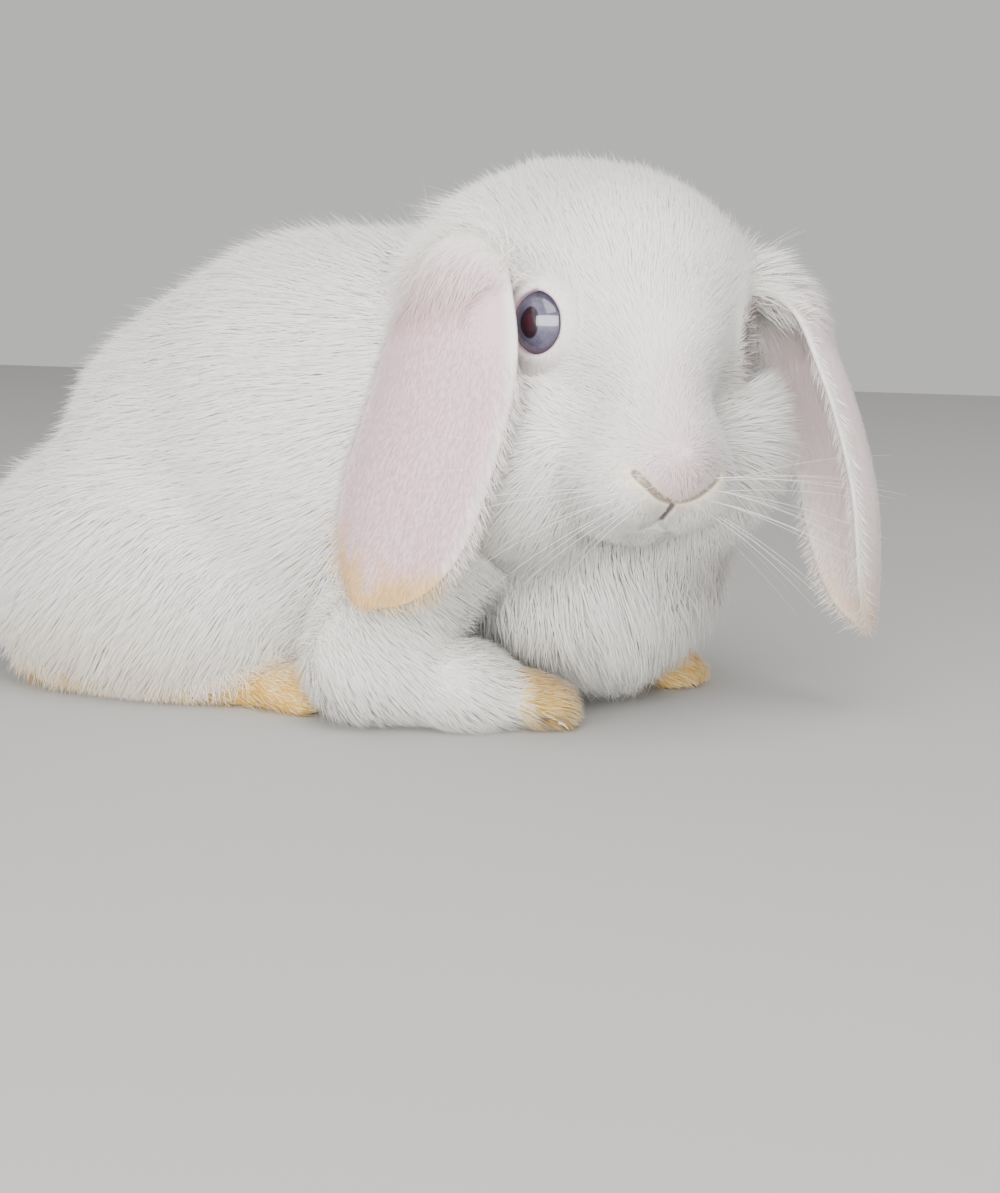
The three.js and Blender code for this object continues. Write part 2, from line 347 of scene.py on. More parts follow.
class EarShape:
    """The middle line of one ear, and each point's place in the cupped sheet along it."""

    def __init__(self, side):
        ear = EARS[side]
        self.middle = curve_points([spot(*p) for p in ear.line], EAR_STEPS)
        self.t = np.linspace(0, 1, EAR_STEPS)
        self.down = unit(np.gradient(self.middle, axis=0))
        self.length = np.linalg.norm(np.diff(self.middle, axis=0), axis=1).sum()
        facing = math.radians(ear.facing)
        sideways = spot(math.sin(facing), math.cos(facing), 0)
        faced = mix(spot(0, 0, 1), sideways, smooth_step(self.t, 0, 0.3)[:, None])
        self.outward = tangent(faced, self.down)
        self.chord = unit(np.cross(self.down, self.outward))
        opened = smooth_step(self.t, 0, 0.45)
        tip = np.maximum((self.t - 0.68) / 0.32, 0) ** 2.2
        rounded = np.sqrt(np.maximum(1 - tip, 0.03))
        self.half_width = EAR_WIDTH / 2 * mix(0.5, 1, opened) * rounded
        self.half_curl = np.radians(mix(ear.curl[0], ear.curl[1], opened))
        self.half_thick = EAR_THICKNESS / 2 * mix(1.3, 0.8, self.t)
        self.bend = self.half_width / self.half_curl
        self.low = self.middle.min(0) - EAR_WIDTH * 0.8
        self.high = self.middle.max(0) + EAR_WIDTH * 0.8

    def boxed(self, p):
        """Which points are near enough to an ear to be worked out."""
        return ((p > self.low) & (p < self.high)).all(-1)

    def place(self, p):
        """Each point's place in the sheet, and the sheet's own shape there.

        The place is a share of the length, a share of the half width, the height over the sheet and
        the run past an end. The shape is its bend, half curl and half thickness.
        """
        row = np.zeros(len(p), int)
        best = np.full(len(p), 1e9)
        for i, middle in enumerate(self.middle):
            away = p - middle
            gap = dot(away, away)
            closer = gap < best
            row[closer], best[closer] = i, gap[closer]
        ahead = dot(p - self.middle[row], self.down[row])
        step = self.length / (EAR_STEPS - 1)
        shift = np.clip(ahead / step, -1, 1)
        other = np.clip(row + np.sign(shift).astype(int), 0, EAR_STEPS - 1)
        share = np.abs(shift)[:, None]
        pick = lambda rows: mix(rows[row], rows[other], share if rows.ndim > 1 else share[:, 0])
        offset = p - pick(self.middle)
        past = dot(offset, pick(self.down))
        bend = pick(self.bend)
        lift, side = dot(offset, pick(self.outward)), dot(offset, pick(self.chord))
        angle = np.arctan2(side, lift + bend)
        height = np.hypot(side, lift + bend) - bend
        half_curl = pick(self.half_curl)
        return pick(self.t), angle / half_curl, height, past, bend, half_curl, pick(self.half_thick)

    def field(self, p, fluff=0.0, extra=0.0, root_free=False):
        """p is in the head's frame. The furred root can be left out."""
        result = np.full(len(p), 30.0)
        inside = self.boxed(p)
        if not inside.any():
            return result
        t, u, height, past, bend, half_curl, half_thick = self.place(p[inside])
        rim = np.maximum(half_thick * np.sqrt(1 - 0.85 * np.minimum(u * u, 1)), 0.9)
        thick = np.maximum(rim - EAR_COAT * (1 - fluff), 0.6) + extra
        beyond = np.maximum(np.abs(u) - 1, 0) * half_curl * bend
        result[inside] = np.hypot(np.hypot(beyond, past), height) - thick
        if root_free:
            result[inside] += 8 * (1 - smooth_step(t, 0.24, 0.42))
        return result

    def run(self, p):
        """Share of the ear's length, 1 far from it. p is in the head's frame."""
        result = np.ones(len(p))
        inside = self.boxed(p)
        if inside.any():
            result[inside] = self.place(p[inside])[0]
        return result


EAR_SHAPES = {side: EarShape(side) for side in (-1, 1)}


# ---- The rest of the body ----
def trunk_field():
    half = TRUNK_WIDTH / 2
    rump_reach = 48
    return joined(
        12,
        egg(spot(0, 4, TRUNK_HEIGHT / 2 - 1), [half, 54, TRUNK_HEIGHT / 2 + 1], 7.5),
        egg(spot(0, -29, 42), [half - 3, 34, 40], 7.5),
        egg(spot(0, rump_reach - TRUNK_LENGTH / 2, 28), [half - 2, rump_reach, 30], 7.5),
        egg(spot(8, 57, 37), [34, 32, 35], 9.0),
    )


@dataclass
class Foreleg:
    shoulder: tuple
    elbow: tuple
    wrist: tuple
    toes: tuple

    def joints(self):
        return [np.array(p, float) for p in (self.shoulder, self.elbow, self.wrist, self.toes)]


FORELEGS = {
    -1: Foreleg((-23, -34, 36), (-33, -26, 13), (-29, -46, 8), (-23, -61, 4)),
    1: Foreleg((24, -44, 38), (33, -36, 14), (29, -55, 8), (26, -70, 4)),
}
TOE_SPREAD = 2.7
TOE_RADIUS = 2.5


def foreleg_field(side):
    shoulder, elbow, wrist, _ = FORELEGS[side].joints()
    return joined(8, limb(shoulder, elbow, 16, 12.5, 4.5), limb(elbow, wrist, 12.5, 9.5, 3.0))


def toe_lines(root, tip, count, spread, reach):
    """Start and end of each toe, side by side across the end of a foot."""
    along = unit(tip - root)
    across = unit(np.cross(along, (0, 0, 1)))
    lines = []
    for i in range(count):
        place = i - (count - 1) / 2
        shift = across * place * spread
        # The middle toes reach furthest.
        end = tip + shift * 1.15 + along * (reach - 0.55 * place * place)
        lines.append((tip + shift * 0.8 - along * 5, end * (1, 1, 0) + (0, 0, TOE_RADIUS - 0.2)))
    return lines


def paw_field(side):
    _, _, wrist, toes = FORELEGS[side].joints()
    top = limb(wrist, toes, 9.5, 5.5, 2.0)
    pads = [limb(a, b, TOE_RADIUS + 0.6, TOE_RADIUS) for a, b in paw_toes(side)]
    return joined(2.2, top, *pads)


def paw_toes(side):
    _, _, wrist, toes = FORELEGS[side].joints()
    return toe_lines(wrist, toes, 4, TOE_SPREAD, 2.2)


def foot_ends(side):
    return np.array([side * 29, 54, 5.0]), np.array([side * 28, -8, 4.0])


def foot_toes(side):
    heel, toes = foot_ends(side)
    return toe_lines(heel, toes, 4, 3.1, 3.6)


def foot_field(side):
    heel, toes = foot_ends(side)
    pads = [limb(a, b, TOE_RADIUS + 0.9, TOE_RADIUS + 0.2) for a, b in foot_toes(side)]
    return joined(2.2, limb(heel, toes, 7.5, 7.5, 1.8), *pads)


def ear_field(side):
    return lambda p, fluff=0.0: EAR_SHAPES[side].field(to_head(p), fluff)


PARTS = {
    # name: (field, how softly it flows into the rest)
    "trunk": (trunk_field(), 10),
    "neck": (limb((0, -30, 64), (-3, -50, 66), 30, 30, 6.5), 16),
    "head": (head_field(), 9),
    "tail": (egg((0, TRUNK_LENGTH / 2 + 2, 25), [11, 10, 13], 5.5), 5),
    **{f"foreleg_{s}": (foreleg_field(s), 9) for s in (-1, 1)},
    **{f"paw_{s}": (paw_field(s), 4) for s in (-1, 1)},
    **{f"thigh_{s}": (egg((s * 26, 32, 24), [20, 42, 29], 6.0), 9) for s in (-1, 1)},
    **{f"foot_{s}": (foot_field(s), 4) for s in (-1, 1)},
    **{f"ear_{s}": (ear_field(s), 2.2) for s in (-1, 1)},
}


# ---- Folds of the nose and mouth ----
@dataclass
class Fold:
    """A crease along a line of (left, up) points on the front of the face."""

    line: list
    radius: float
    sink: float


FOLDS = [
    Fold([(-8.6, -19.2), (-6.0, -21.6), (-3.2, -23.6), (0, -24.6)], 0.55, 0.0),
    Fold([(8.6, -19.2), (6.0, -21.6), (3.2, -23.6), (0, -24.6)], 0.55, 0.0),
    Fold([(0, -24.6), (0, -28.6)], 0.4, 0.05),
    Fold([(0, -28.6), (-1.8, -29.8), (-3.6, -30.6)], 0.3, 0.0),
    Fold([(0, -28.6), (1.8, -29.8), (3.6, -30.6)], 0.3, 0.0),
]
FACE_AHEAD = 52.0


def face_point(left, up, field):
    """Where a line from the front meets the face, in the head's frame."""
    near, far = 10.0, FACE_AHEAD
    for _ in range(30):
        middle = (near + far) / 2
        inside = field(from_head(spot(left, middle, up))[None])[0] < 0
        near, far = (middle, far) if inside else (near, middle)
    return spot(left, near, up)


def fold_lines(field):
    """Every crease as a list of points on the skin, in the head's frame."""
    lines = []
    for fold in FOLDS:
        points = [face_point(left, up, field) for left, up in fold.line]
        lines.append((fold, curve_points(points, 9) if len(points) > 2 else np.array(points)))
    return lines


def line_distance(p, line):
    best = np.full(len(p), 1e3)
    for a, b in zip(line, line[1:]):
        axis = b - a
        t = np.clip(dot(p - a, axis) / dot(axis, axis), 0, 1)
        best = np.minimum(best, size_of(p - a - t[:, None] * axis))
    return best


HEAD_PARTS = ("trunk", "neck", "head", "ear_-1", "ear_1")


def flesh(p, fluff=0.0):
    total = None
    for field, soft in PARTS.values():
        value = field(p, fluff)
        total = value if total is None else soft_min(total, value, soft)
    return total


def skin_field(folds=(), ear_extra=0.0, names=tuple(PARTS)):
    """The skin with its creases, resting on the floor."""

    def field(p):
        total = None
        for name in names:
            part, soft = PARTS[name]
            if name.startswith("ear") and ear_extra:
                value = EAR_SHAPES[int(name[4:])].field(to_head(p), 0.0, ear_extra)
            else:
                value = part(p)
            total = value if total is None else soft_min(total, value, soft)
        if len(folds):
            q = to_head(p)
            near = (np.abs(q[:, 0]) < 14) & (q[:, 1] < -26) & (q[:, 2] < -12)
            for fold, line in folds:
                crease = line_distance(q[near], line) - fold.radius
                total[near] = -soft_min(-total[near], crease, 0.5)
        return np.maximum(total, -p[:, 2])

    return field


# ---- Making meshes ----
def slope_of(field, p, step=0.08):
    """The field at each point and its gradient."""
    value = field(p)
    slope = np.empty_like(p)
    for k in range(3):
        shift = np.zeros(3)
        shift[k] = step
        slope[:, k] = (field(p + shift) - value) / step
    return value, slope


SETTLE_CAP = 0.7  # the furthest that a point moves in one round
GRID_SLAB = 24  # layers of the grid that are worked out at a time


def settle(field, p, rounds):
    """Points moved onto the surface of a field."""
    p = p.copy()
    for _ in range(rounds):
        value, slope = slope_of(field, p)
        size = np.maximum(dot(slope, slope), 0.05)
        step = np.clip(-value / size, -SETTLE_CAP, SETTLE_CAP)
        p += slope * step[:, None]
    return p


def extract(field, low, high, pitch):
    """The surface of a field as points and outward quads."""
    axes = [np.arange(a, b, pitch) for a, b in zip(low, high)]
    shape = [len(a) for a in axes]
    values = np.empty(shape, np.float32)
    for start in range(0, shape[0], GRID_SLAB):
        layers = slice(start, start + GRID_SLAB)
        grid = np.stack(np.meshgrid(axes[0][layers], axes[1], axes[2], indexing="ij"), -1)
        values[layers] = field(grid.reshape(-1, 3)).reshape(grid.shape[:3])
    volume = openvdb.FloatGrid()
    volume.copyFromArray(values, tolerance=0)
    points, quads = volume.convertToQuads(0.0)
    return points * pitch + np.array(low), quads


def new_object(name, mesh):
    piece = bpy.data.objects.new(name, mesh)
    bpy.context.scene.collection.objects.link(piece)
    return piece


def mesh_from(name, points, faces):
    """A smooth-shaded mesh from points in millimetres and faces that all have as many corners."""
    mesh = bpy.data.meshes.new(name)
    count, corners = faces.shape
    mesh.vertices.add(len(points))
    mesh.vertices.foreach_set("co", (points * MM).astype(np.float32).ravel())
    mesh.loops.add(count * corners)
    mesh.loops.foreach_set("vertex_index", faces.astype(np.int32).ravel())
    mesh.polygons.add(count)
    mesh.polygons.foreach_set("loop_start", np.arange(0, count * corners, corners, dtype=np.int32))
    mesh.update(calc_edges=True)
    mesh.shade_smooth()
    return mesh


def set_attribute(mesh, name, values):
    kind = "FLOAT_VECTOR" if values.ndim > 1 else "FLOAT"
    field = "vector" if values.ndim > 1 else "value"
    layer = mesh.attributes.new(name, kind, "POINT")
    layer.data.foreach_set(field, values.astype(np.float32).ravel())


def set_markings(mesh, marks):
    for name, values in marks.items():
        set_attribute(mesh, name, values)


# ---- Markings, shared by skin and coat ----
NOSTRIL_FOLDS = 2  # the first of the folds
NOSTRIL_AND_LIP_FOLDS = 3


def patch_round(q, centre, radii):
    """1 in the middle of an oval patch, fading out round it."""
    away = np.linalg.norm((q - centre) / radii, axis=-1)
    return 1 - smooth_step(away, 0.3, 1.3)


class Markings:
    """How much of each marking is at a point: pink flesh, yellow stain and painted shade in the creases.
    """

    def __init__(self, folds):
        self.folds = folds

    def crease_distance(self, p):
        """How far each point is from the creases of the nose and mouth."""
        q = to_head(p)
        gap = np.full(len(p), 99.0)
        near = (q[:, 1] < -20) & (q[:, 2] < -6) & (np.abs(q[:, 0]) < 22)
        if near.any():
            gap[near] = np.min([line_distance(q[near], line) for _, line in self.folds], axis=0)
        return gap

    def at(self, p):
        q = to_head(p)
        pink, stain = self.on_ears(p, q)
        pink = np.maximum(pink, self.flush(q))
        stain = np.maximum(stain, self.toes(p))
        dark = np.zeros(len(p))
        # Painted shade along the creases of the nose and mouth, and a faint stain beside them.
        near = (q[:, 1] < -20) & (q[:, 2] < -8) & (np.abs(q[:, 0]) < 20)
        if near.any():
            for index, (_, line) in enumerate(self.folds):
                gap = line_distance(q[near], line)
                strength = 1.0 if index < NOSTRIL_AND_LIP_FOLDS else 0.3
                dark[near] = np.maximum(dark[near], strength * (1 - smooth_step(gap, 0.34, 0.95)))
                if index < NOSTRIL_FOLDS:
                    faint = 0.28 * (1 - smooth_step(gap, 0.8, 3.6))
                    stain[near] = np.maximum(stain[near], faint)
            # A painted shade at the corner of the mouth.
            mouth_shade = patch_round(q[near], spot(-1.5, 38, -28.5), (3.4, 6, 2.2))
            dark[near] = np.maximum(dark[near], 0.3 * mouth_shade)
        return {"pink": pink, "stain": stain, "dark": dark}

    def flush(self, q):
        """Pink over the nose and up the bridge, and on the bare rims of the lids."""
        nose = patch_round(q, spot(0, 41, -17), (7.5, 10, 8.5))
        bridge = patch_round(q, spot(0, 38, -7), (6, 12, 10))
        pink = np.maximum(0.5 * nose, 0.3 * bridge)
        for side in (-1, 1):
            rim = eye_opening(side)(q)
            near = np.linalg.norm(q - eye_centre(side), axis=-1) < EYE_RADIUS + 4
            lid = mix(0.9, 0.14, smooth_step(rim, 0.2, 0.7)) * (1 - smooth_step(rim, 1.4, 4.5))
            pink = np.where(near, np.maximum(pink, lid), pink)
        return pink

    def on_ears(self, p, q):
        """Pink ears with white edges, stained at the tips."""
        pink = np.zeros(len(p))
        stain = np.zeros(len(p))
        for side in (-1, 1):
            shape = EAR_SHAPES[side]
            box = shape.boxed(q)
            if box.any():
                t, u, *_ = shape.place(q[box])
                on_ear = 1 - smooth_step(shape.field(q[box]), 0.8, 2.0)
                edge = smooth_step(np.abs(u), 0.82, 1.02)
                depth = 0.9 if side < 0 else 0.5
                flush = depth * on_ear * (1 - 0.8 * edge) * smooth_step(t, 0.1, 0.32)
                pink[box] = np.maximum(pink[box], flush)
                ragged = 0.05 * wander(p[box], 3.0, 31)
                tip = smooth_step(t + 0.05 * u * u + ragged, 0.86, 0.97) * on_ear
                stain[box] = np.maximum(stain[box], tip * (0.75 if side < 0 else 0.35))
        return pink, stain

    def toes(self, p):
        """Yellow toes, and cream on the lowest hair of the hindquarters."""
        stain = np.zeros(len(p))
        for side in (-1, 1):
            _, _, wrist, toes = FORELEGS[side].joints()
            axis = unit(toes - wrist)
            run = dot(p - toes, axis)
            close = 1 - smooth_step(paw_field(side)(p), 2.0, 5.0)
            stain = np.maximum(stain, close * smooth_step(run + 1.5 * wander(p, 5.0, 41), -11, -6))
            foot = 1 - smooth_step(foot_field(side)(p), 2.0, 7.0)
            low = 1 - smooth_step(p[:, 2] + 2.5 * wander(p, 8.0, 42), 4, 11)
            middle = smooth_step(p[:, 1], 20, 28) * (1 - smooth_step(p[:, 1], 34, 44))
            stain = np.maximum(stain, foot * low * (1 - 0.6 * middle))
        low = 1 - smooth_step(p[:, 2] + 6 * wander(p, 14.0, 43), 4, 28)
        return np.maximum(stain, 0.36 * low * smooth_step(p[:, 1], -10, 30))


# ---- Materials ----
def add_node(tree, kind, inputs=None, **settings):
    """A node with its settings, and with each input set to a value or linked to a socket."""
    node = tree.nodes.new(kind)
    for name, value in settings.items():
        setattr(node, name, value)
    for name, value in (inputs or {}).items():
        socket = node.inputs[name]
        if isinstance(value, bpy.types.NodeSocket):
            tree.links.new(value, socket)
        else:
            socket.default_value = value
    return node


def new_material(name):
    material = bpy.data.materials.new(name)
    material.use_nodes = True
    tree = material.node_tree
    tree.nodes.clear()
    return material, tree


def marked_colour(tree, white):
    """The coat's colour with its markings, from a white that the caller gives as a socket."""
    colours = bpy.context.scene.rabbit_colours
    colour = white
    # The crease tint is painted shade in the nostrils and along the lines of the mouth.
    for name, tint in (("pink", colours.flush), ("stain", colours.stain), ("dark", colours.crease)):
        share = add_node(tree, "ShaderNodeAttribute", attribute_name=name)
        blend = add_node(
            tree,
            "ShaderNodeMix",
            {"Factor": share.outputs["Fac"], "A": colour, "B": (*tint, 1.0)},
            data_type="RGBA",
        )
        colour = blend.outputs["Result"]
    return colour


def finish_material(tree, inputs):
    shader = add_node(tree, "ShaderNodeBsdfPrincipled", inputs)
    add_node(tree, "ShaderNodeOutputMaterial", {"Surface": shader.outputs["BSDF"]})


def hair_material():
    """Soft white underfur and guard hair.

    Each tuft is painted a little greyer at its root, a painted shade for where neighbours close it in,
    and no two are quite the same white, which keeps the coat from reading as one painted surface.
    """
    material, tree = new_material("soft_white_rabbit_hair")
    colours = bpy.context.scene.rabbit_colours
    along = add_node(tree, "ShaderNodeAttribute", attribute_name="along")
    strand = add_node(tree, "ShaderNodeAttribute", attribute_name="strand")
    # Painted shade: each tuft runs from a shaded grey at its root to white at its tip.
    root_shade_to_tip = add_node(
        tree,
        "ShaderNodeMix",
        {"Factor": along.outputs["Fac"], "A": (*colours.shaded_root_and_nap_grey, 1), "B": (*colours.hair_tip, 1)},
        data_type="RGBA",
    )
    cream = add_node(
        tree,
        "ShaderNodeMapRange",
        {"Value": strand.outputs["Fac"], "From Min": 0.55, "From Max": 1.0, "To Min": 0.0, "To Max": 0.35},
    )
    white = add_node(
        tree,
        "ShaderNodeMix",
        {
            "Factor": cream.outputs["Result"],
            "A": root_shade_to_tip.outputs["Result"],
            "B": (*colours.hair_warm, 1),
        },
        data_type="RGBA",
    )
    finish_material(
        tree,
        {
            "Base Color": marked_colour(tree, white.outputs["Result"]),
            "Roughness": 0.62,
            "IOR": 1.55,
            "Specular IOR Level": 0.15,
            "Sheen Weight": 0.4,
            "Sheen Roughness": 0.5,
        },
    )
    return material


def skin_material():
    """Skin with short down lying flat on it: matt, pink where it is thin, with a fine nap."""
    material, tree = new_material("downy_rabbit_skin")
    colours = bpy.context.scene.rabbit_colours
    nap = add_node(tree, "ShaderNodeAttribute", attribute_name="nap")
    # Down is about 0.05 mm thick; the nap is drawn at 0.5 mm so that it shows.
    down = add_node(
        tree,
        "ShaderNodeTexNoise",
        {"Vector": nap.outputs["Vector"], "Scale": 2.0, "Detail": 4.0, "Roughness": 0.65},
    )
    tone = add_node(
        tree,
        "ShaderNodeMapRange",
        {"Value": down.outputs["Fac"], "From Min": 0.3, "From Max": 0.7, "To Min": 0.0, "To Max": 0.5},
    )
    white = add_node(
        tree,
        "ShaderNodeMix",
        {"Factor": tone.outputs["Result"], "A": (*colours.hair_tip, 1), "B": (*colours.shaded_root_and_nap_grey, 1)},
        data_type="RGBA",
    )
    bump = add_node(
        tree, "ShaderNodeBump", {"Height": down.outputs["Fac"], "Strength": 0.35, "Distance": 0.0003}
    )
    finish_material(
        tree,
        {
            "Base Color": marked_colour(tree, white.outputs["Result"]),
            "Roughness": 0.6,
            "IOR": 1.45,
            "Specular IOR Level": 0.3,
            "Sheen Weight": 0.2,
            "Normal": bump.outputs["Normal"],
        },
    )
    return material


PUPIL_HALF = (2.1, 3.0)  # half the width and height of the pupil
PUPIL_HEART_HALF = (1.3, 1.9)


def eye_material():
    """A wet eye: a clear cornea over a blue-grey iris and a deep wine pupil."""
    material, tree = new_material("wet_cornea_over_iris")
    colours = bpy.context.scene.rabbit_colours
    gaze = add_node(tree, "ShaderNodeAttribute", attribute_name="gaze")
    parts = add_node(tree, "ShaderNodeSeparateXYZ", {"Vector": gaze.outputs["Vector"]})

    def far_from_middle(half_width, half_height):
        x, y = parts.outputs["X"], parts.outputs["Y"]
        across = add_node(tree, "ShaderNodeMath", {0: x, 1: half_width}, operation="DIVIDE")
        high = add_node(tree, "ShaderNodeMath", {0: y, 1: half_height}, operation="DIVIDE")
        flat = add_node(tree, "ShaderNodeCombineXYZ", {"X": across.outputs[0], "Y": high.outputs[0]})
        far = add_node(tree, "ShaderNodeVectorMath", {0: flat.outputs[0]}, operation="LENGTH")
        return far.outputs["Value"]

    def ringed(measure, low, high, inner, outer):
        """One colour up to the low measure, running into another at the high one."""
        share = add_node(
            tree,
            "ShaderNodeMapRange",
            {"Value": measure, "From Min": low, "From Max": high},
            interpolation_type="SMOOTHSTEP",
        )
        blend = add_node(
            tree,
            "ShaderNodeMix",
            {"Factor": share.outputs["Result"], "A": inner, "B": outer},
            data_type="RGBA",
        )
        return blend.outputs["Result"]

    # Fibres run out from the pupil: noise that is stretched by reading the direction only.
    round_iris = far_from_middle(1.0, 1.0)
    direction = add_node(
        tree, "ShaderNodeVectorMath", {0: gaze.outputs["Vector"]}, operation="NORMALIZE"
    )
    fibres = add_node(
        tree,
        "ShaderNodeTexNoise",
        {"Vector": direction.outputs[0], "Scale": 9.0, "Detail": 5.0, "Roughness": 0.6},
    )
    light = (*colours.iris_light, 1)
    iris = ringed(fibres.outputs["Fac"], 0.3, 0.72, (*colours.iris, 1), light)
    iris = ringed(round_iris, 4.4, 6.6, iris, (*colours.iris_edge, 1))
    halo = ringed(far_from_middle(*PUPIL_HALF), 1.02, 1.4, light, iris)
    glow = far_from_middle(*PUPIL_HEART_HALF)
    heart = ringed(glow, 0.2, 1.2, (*colours.pupil_heart, 1), (*colours.pupil, 1))
    colour = ringed(far_from_middle(*PUPIL_HALF), 0.93, 1.05, heart, halo)
    finish_material(
        tree,
        {
            "Base Color": colour,
            "Roughness": 0.35,
            "IOR": 1.38,
            "Coat Weight": 1.0,
            "Coat Roughness": 0.02,
            "Coat IOR": 1.8,
        },
    )
    return material


def horn_material():
    """Claw horn: pale and smooth, with a fine grain of two tones."""
    material, tree = new_material("pale_claw_horn")
    place = add_node(tree, "ShaderNodeTexCoord")
    grain = add_node(
        tree,
        "ShaderNodeTexNoise",
        {"Vector": place.outputs["Object"], "Scale": 1400.0, "Detail": 2.0},
    )
    colour = add_node(
        tree,
        "ShaderNodeMix",
        {"Factor": grain.outputs["Fac"], "A": opaque("#B79F80"), "B": opaque("#D2BFA2")},
        data_type="RGBA",
    )
    finish_material(tree, {"Base Color": colour.outputs["Result"], "Roughness": 0.35, "IOR": 1.54})
    return material


def whisker_material():
    """Stiff white whisker hair, glossier than the coat."""
    material, tree = new_material("stiff_white_whisker")
    place = add_node(tree, "ShaderNodeTexCoord")
    tone = add_node(
        tree, "ShaderNodeTexNoise", {"Vector": place.outputs["Object"], "Scale": 300.0, "Detail": 1.0}
    )
    colour = add_node(
        tree,
        "ShaderNodeMix",
        {"Factor": tone.outputs["Fac"], "A": opaque("#EDEBE6"), "B": opaque("#FBFAF8")},
        data_type="RGBA",
    )
    finish_material(tree, {"Base Color": colour.outputs["Result"], "Roughness": 0.4, "IOR": 1.55})
    return material


# ---- The skin ----
class Skin:
    """The finished skin, kept for the coat: triangles, normals and the unwrap."""

    points = normals = triangles = uv = None
    markings = crease_gap = None


GRID_MARGIN = 3.0  # how far the grid reaches past the solids
EAR_GRID_EXTRA = 0.9  # ears are gridded thicker and then settled, so that no cell misses them
LID_REACH = 12
FINE_LID_REACH = 9.5
UNWRAP_ANGLE = 70
UNWRAP_MARGIN = 0.002


def solids_box():
    """The lowest and highest corners of all the solids."""
    boxes = [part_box(node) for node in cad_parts]
    low = np.min([box[0] for box in boxes], axis=0) / MM
    high = np.max([box[1] for box in boxes], axis=0) / MM
    return low, high


def split_near(piece_mesh, wanted):
    """Edges whose both ends are wanted are cut in two, with grids inside."""
    edges = [e for e in piece_mesh.edges if wanted[e.verts[0].index] and wanted[e.verts[1].index]]
    bmesh.ops.subdivide_edges(piece_mesh, edges=edges, cuts=1, use_grid_fill=True)
    piece_mesh.verts.ensure_lookup_table()
    piece_mesh.verts.index_update()


def bmesh_points(piece_mesh):
    return np.array([v.co[:] for v in piece_mesh.verts])


def ease(points, edges, moving, rounds, field):
    """Points slid towards the middle of their neighbours and settled on the field again."""
    for _ in range(rounds):
        total = np.zeros_like(points)
        count = np.zeros(len(points))
        for a, b in ((0, 1), (1, 0)):
            np.add.at(total, edges[:, a], points[edges[:, b]])
            np.add.at(count, edges[:, a], 1)
        middle = total / np.maximum(count, 1)[:, None]
        points[moving] = settle(field, mix(points, middle, 0.5)[moving], rounds=1)
    return points


def near_folds(q):
    return (np.abs(q[:, 0]) < 12) & (q[:, 1] < -30) & (q[:, 2] < -14) & (q[:, 2] > -33)


def lid_middle(side):
    """The front of the ball, in the middle of the lids' opening."""
    return eye_centre(side) + EYE_RADIUS * eye_axes(side, LID_AZIMUTH)[2]


def near_eyes(q, reach):
    away = [np.linalg.norm(q - lid_middle(side), axis=-1) for side in (-1, 1)]
    return np.minimum(*away) < reach


def make_skin(settings):
    plain = skin_field()
    thick_eared = skin_field(ear_extra=EAR_GRID_EXTRA)
    low, high = solids_box()
    points, quads = extract(thick_eared, low - GRID_MARGIN, high + GRID_MARGIN, settings.pitch)
    points = settle(plain, points, rounds=2)
    folds = fold_lines(plain)
    creased = skin_field(folds)

    work = bmesh.new()
    verts = [work.verts.new(p) for p in points]
    for quad in quads:
        work.faces.new([verts[i] for i in quad])
    work.verts.index_update()
    q = to_head(points)
    ears = np.minimum(EAR_SHAPES[-1].field(q), EAR_SHAPES[1].field(q)) < 1.0
    front = (q[:, 1] < -14) & (np.abs(q[:, 0]) < 26) & (q[:, 2] < 16) & (flesh_part("head", points) < 2)
    split_near(work, ears | front | near_eyes(q, LID_REACH))
    points = bmesh_points(work)
    q = to_head(points)
    split_near(work, near_folds(q) | near_eyes(q, FINE_LID_REACH))
    bmesh.ops.triangulate(work, faces=work.faces[:])
    points = bmesh_points(work)
    edges = np.array([(e.verts[0].index, e.verts[1].index) for e in work.edges])
    faces = np.array([[v.index for v in f.verts] for f in work.faces])
    work.free()

    q = to_head(points)
    fine = (np.minimum(EAR_SHAPES[-1].field(q), EAR_SHAPES[1].field(q)) < 3) | (q[:, 1] < -10)
    near_head = skin_field(folds, names=HEAD_PARTS)
    points[fine] = settle(near_head, points[fine], rounds=2)
    points = ease(points, edges, fine, 2, near_head)
    points[:, 2] = np.maximum(points[:, 2], 0)

    normals = unit(slope_of(creased, points, 0.15)[1])
    return points, faces, normals, folds


def flesh_part(name, p):
    return PARTS[name][0](p)


def nap_coordinates(p):
    """Where the nap is read: along the hair it changes slowly, across it quickly."""
    nap = p.copy()
    q = to_head(p)
    for side in (-1, 1):
        shape = EAR_SHAPES[side]
        on_ear = shape.field(q) < 1.0
        if on_ear.any():
            t, u, height, *_ = shape.place(q[on_ear])
            across = u * EAR_WIDTH / 2
            nap[on_ear] = np.stack([across, t * shape.length * 0.16, np.sign(height) * 40], -1)
    return nap


FLESH_NODES = ["head", "neck", "trunk", "tail"] + [
    f"{part}_{side}"
    for part in ("ear", "foreleg", "forepaw", "thigh", "hind_foot")
    for side in ("right", "left")
]


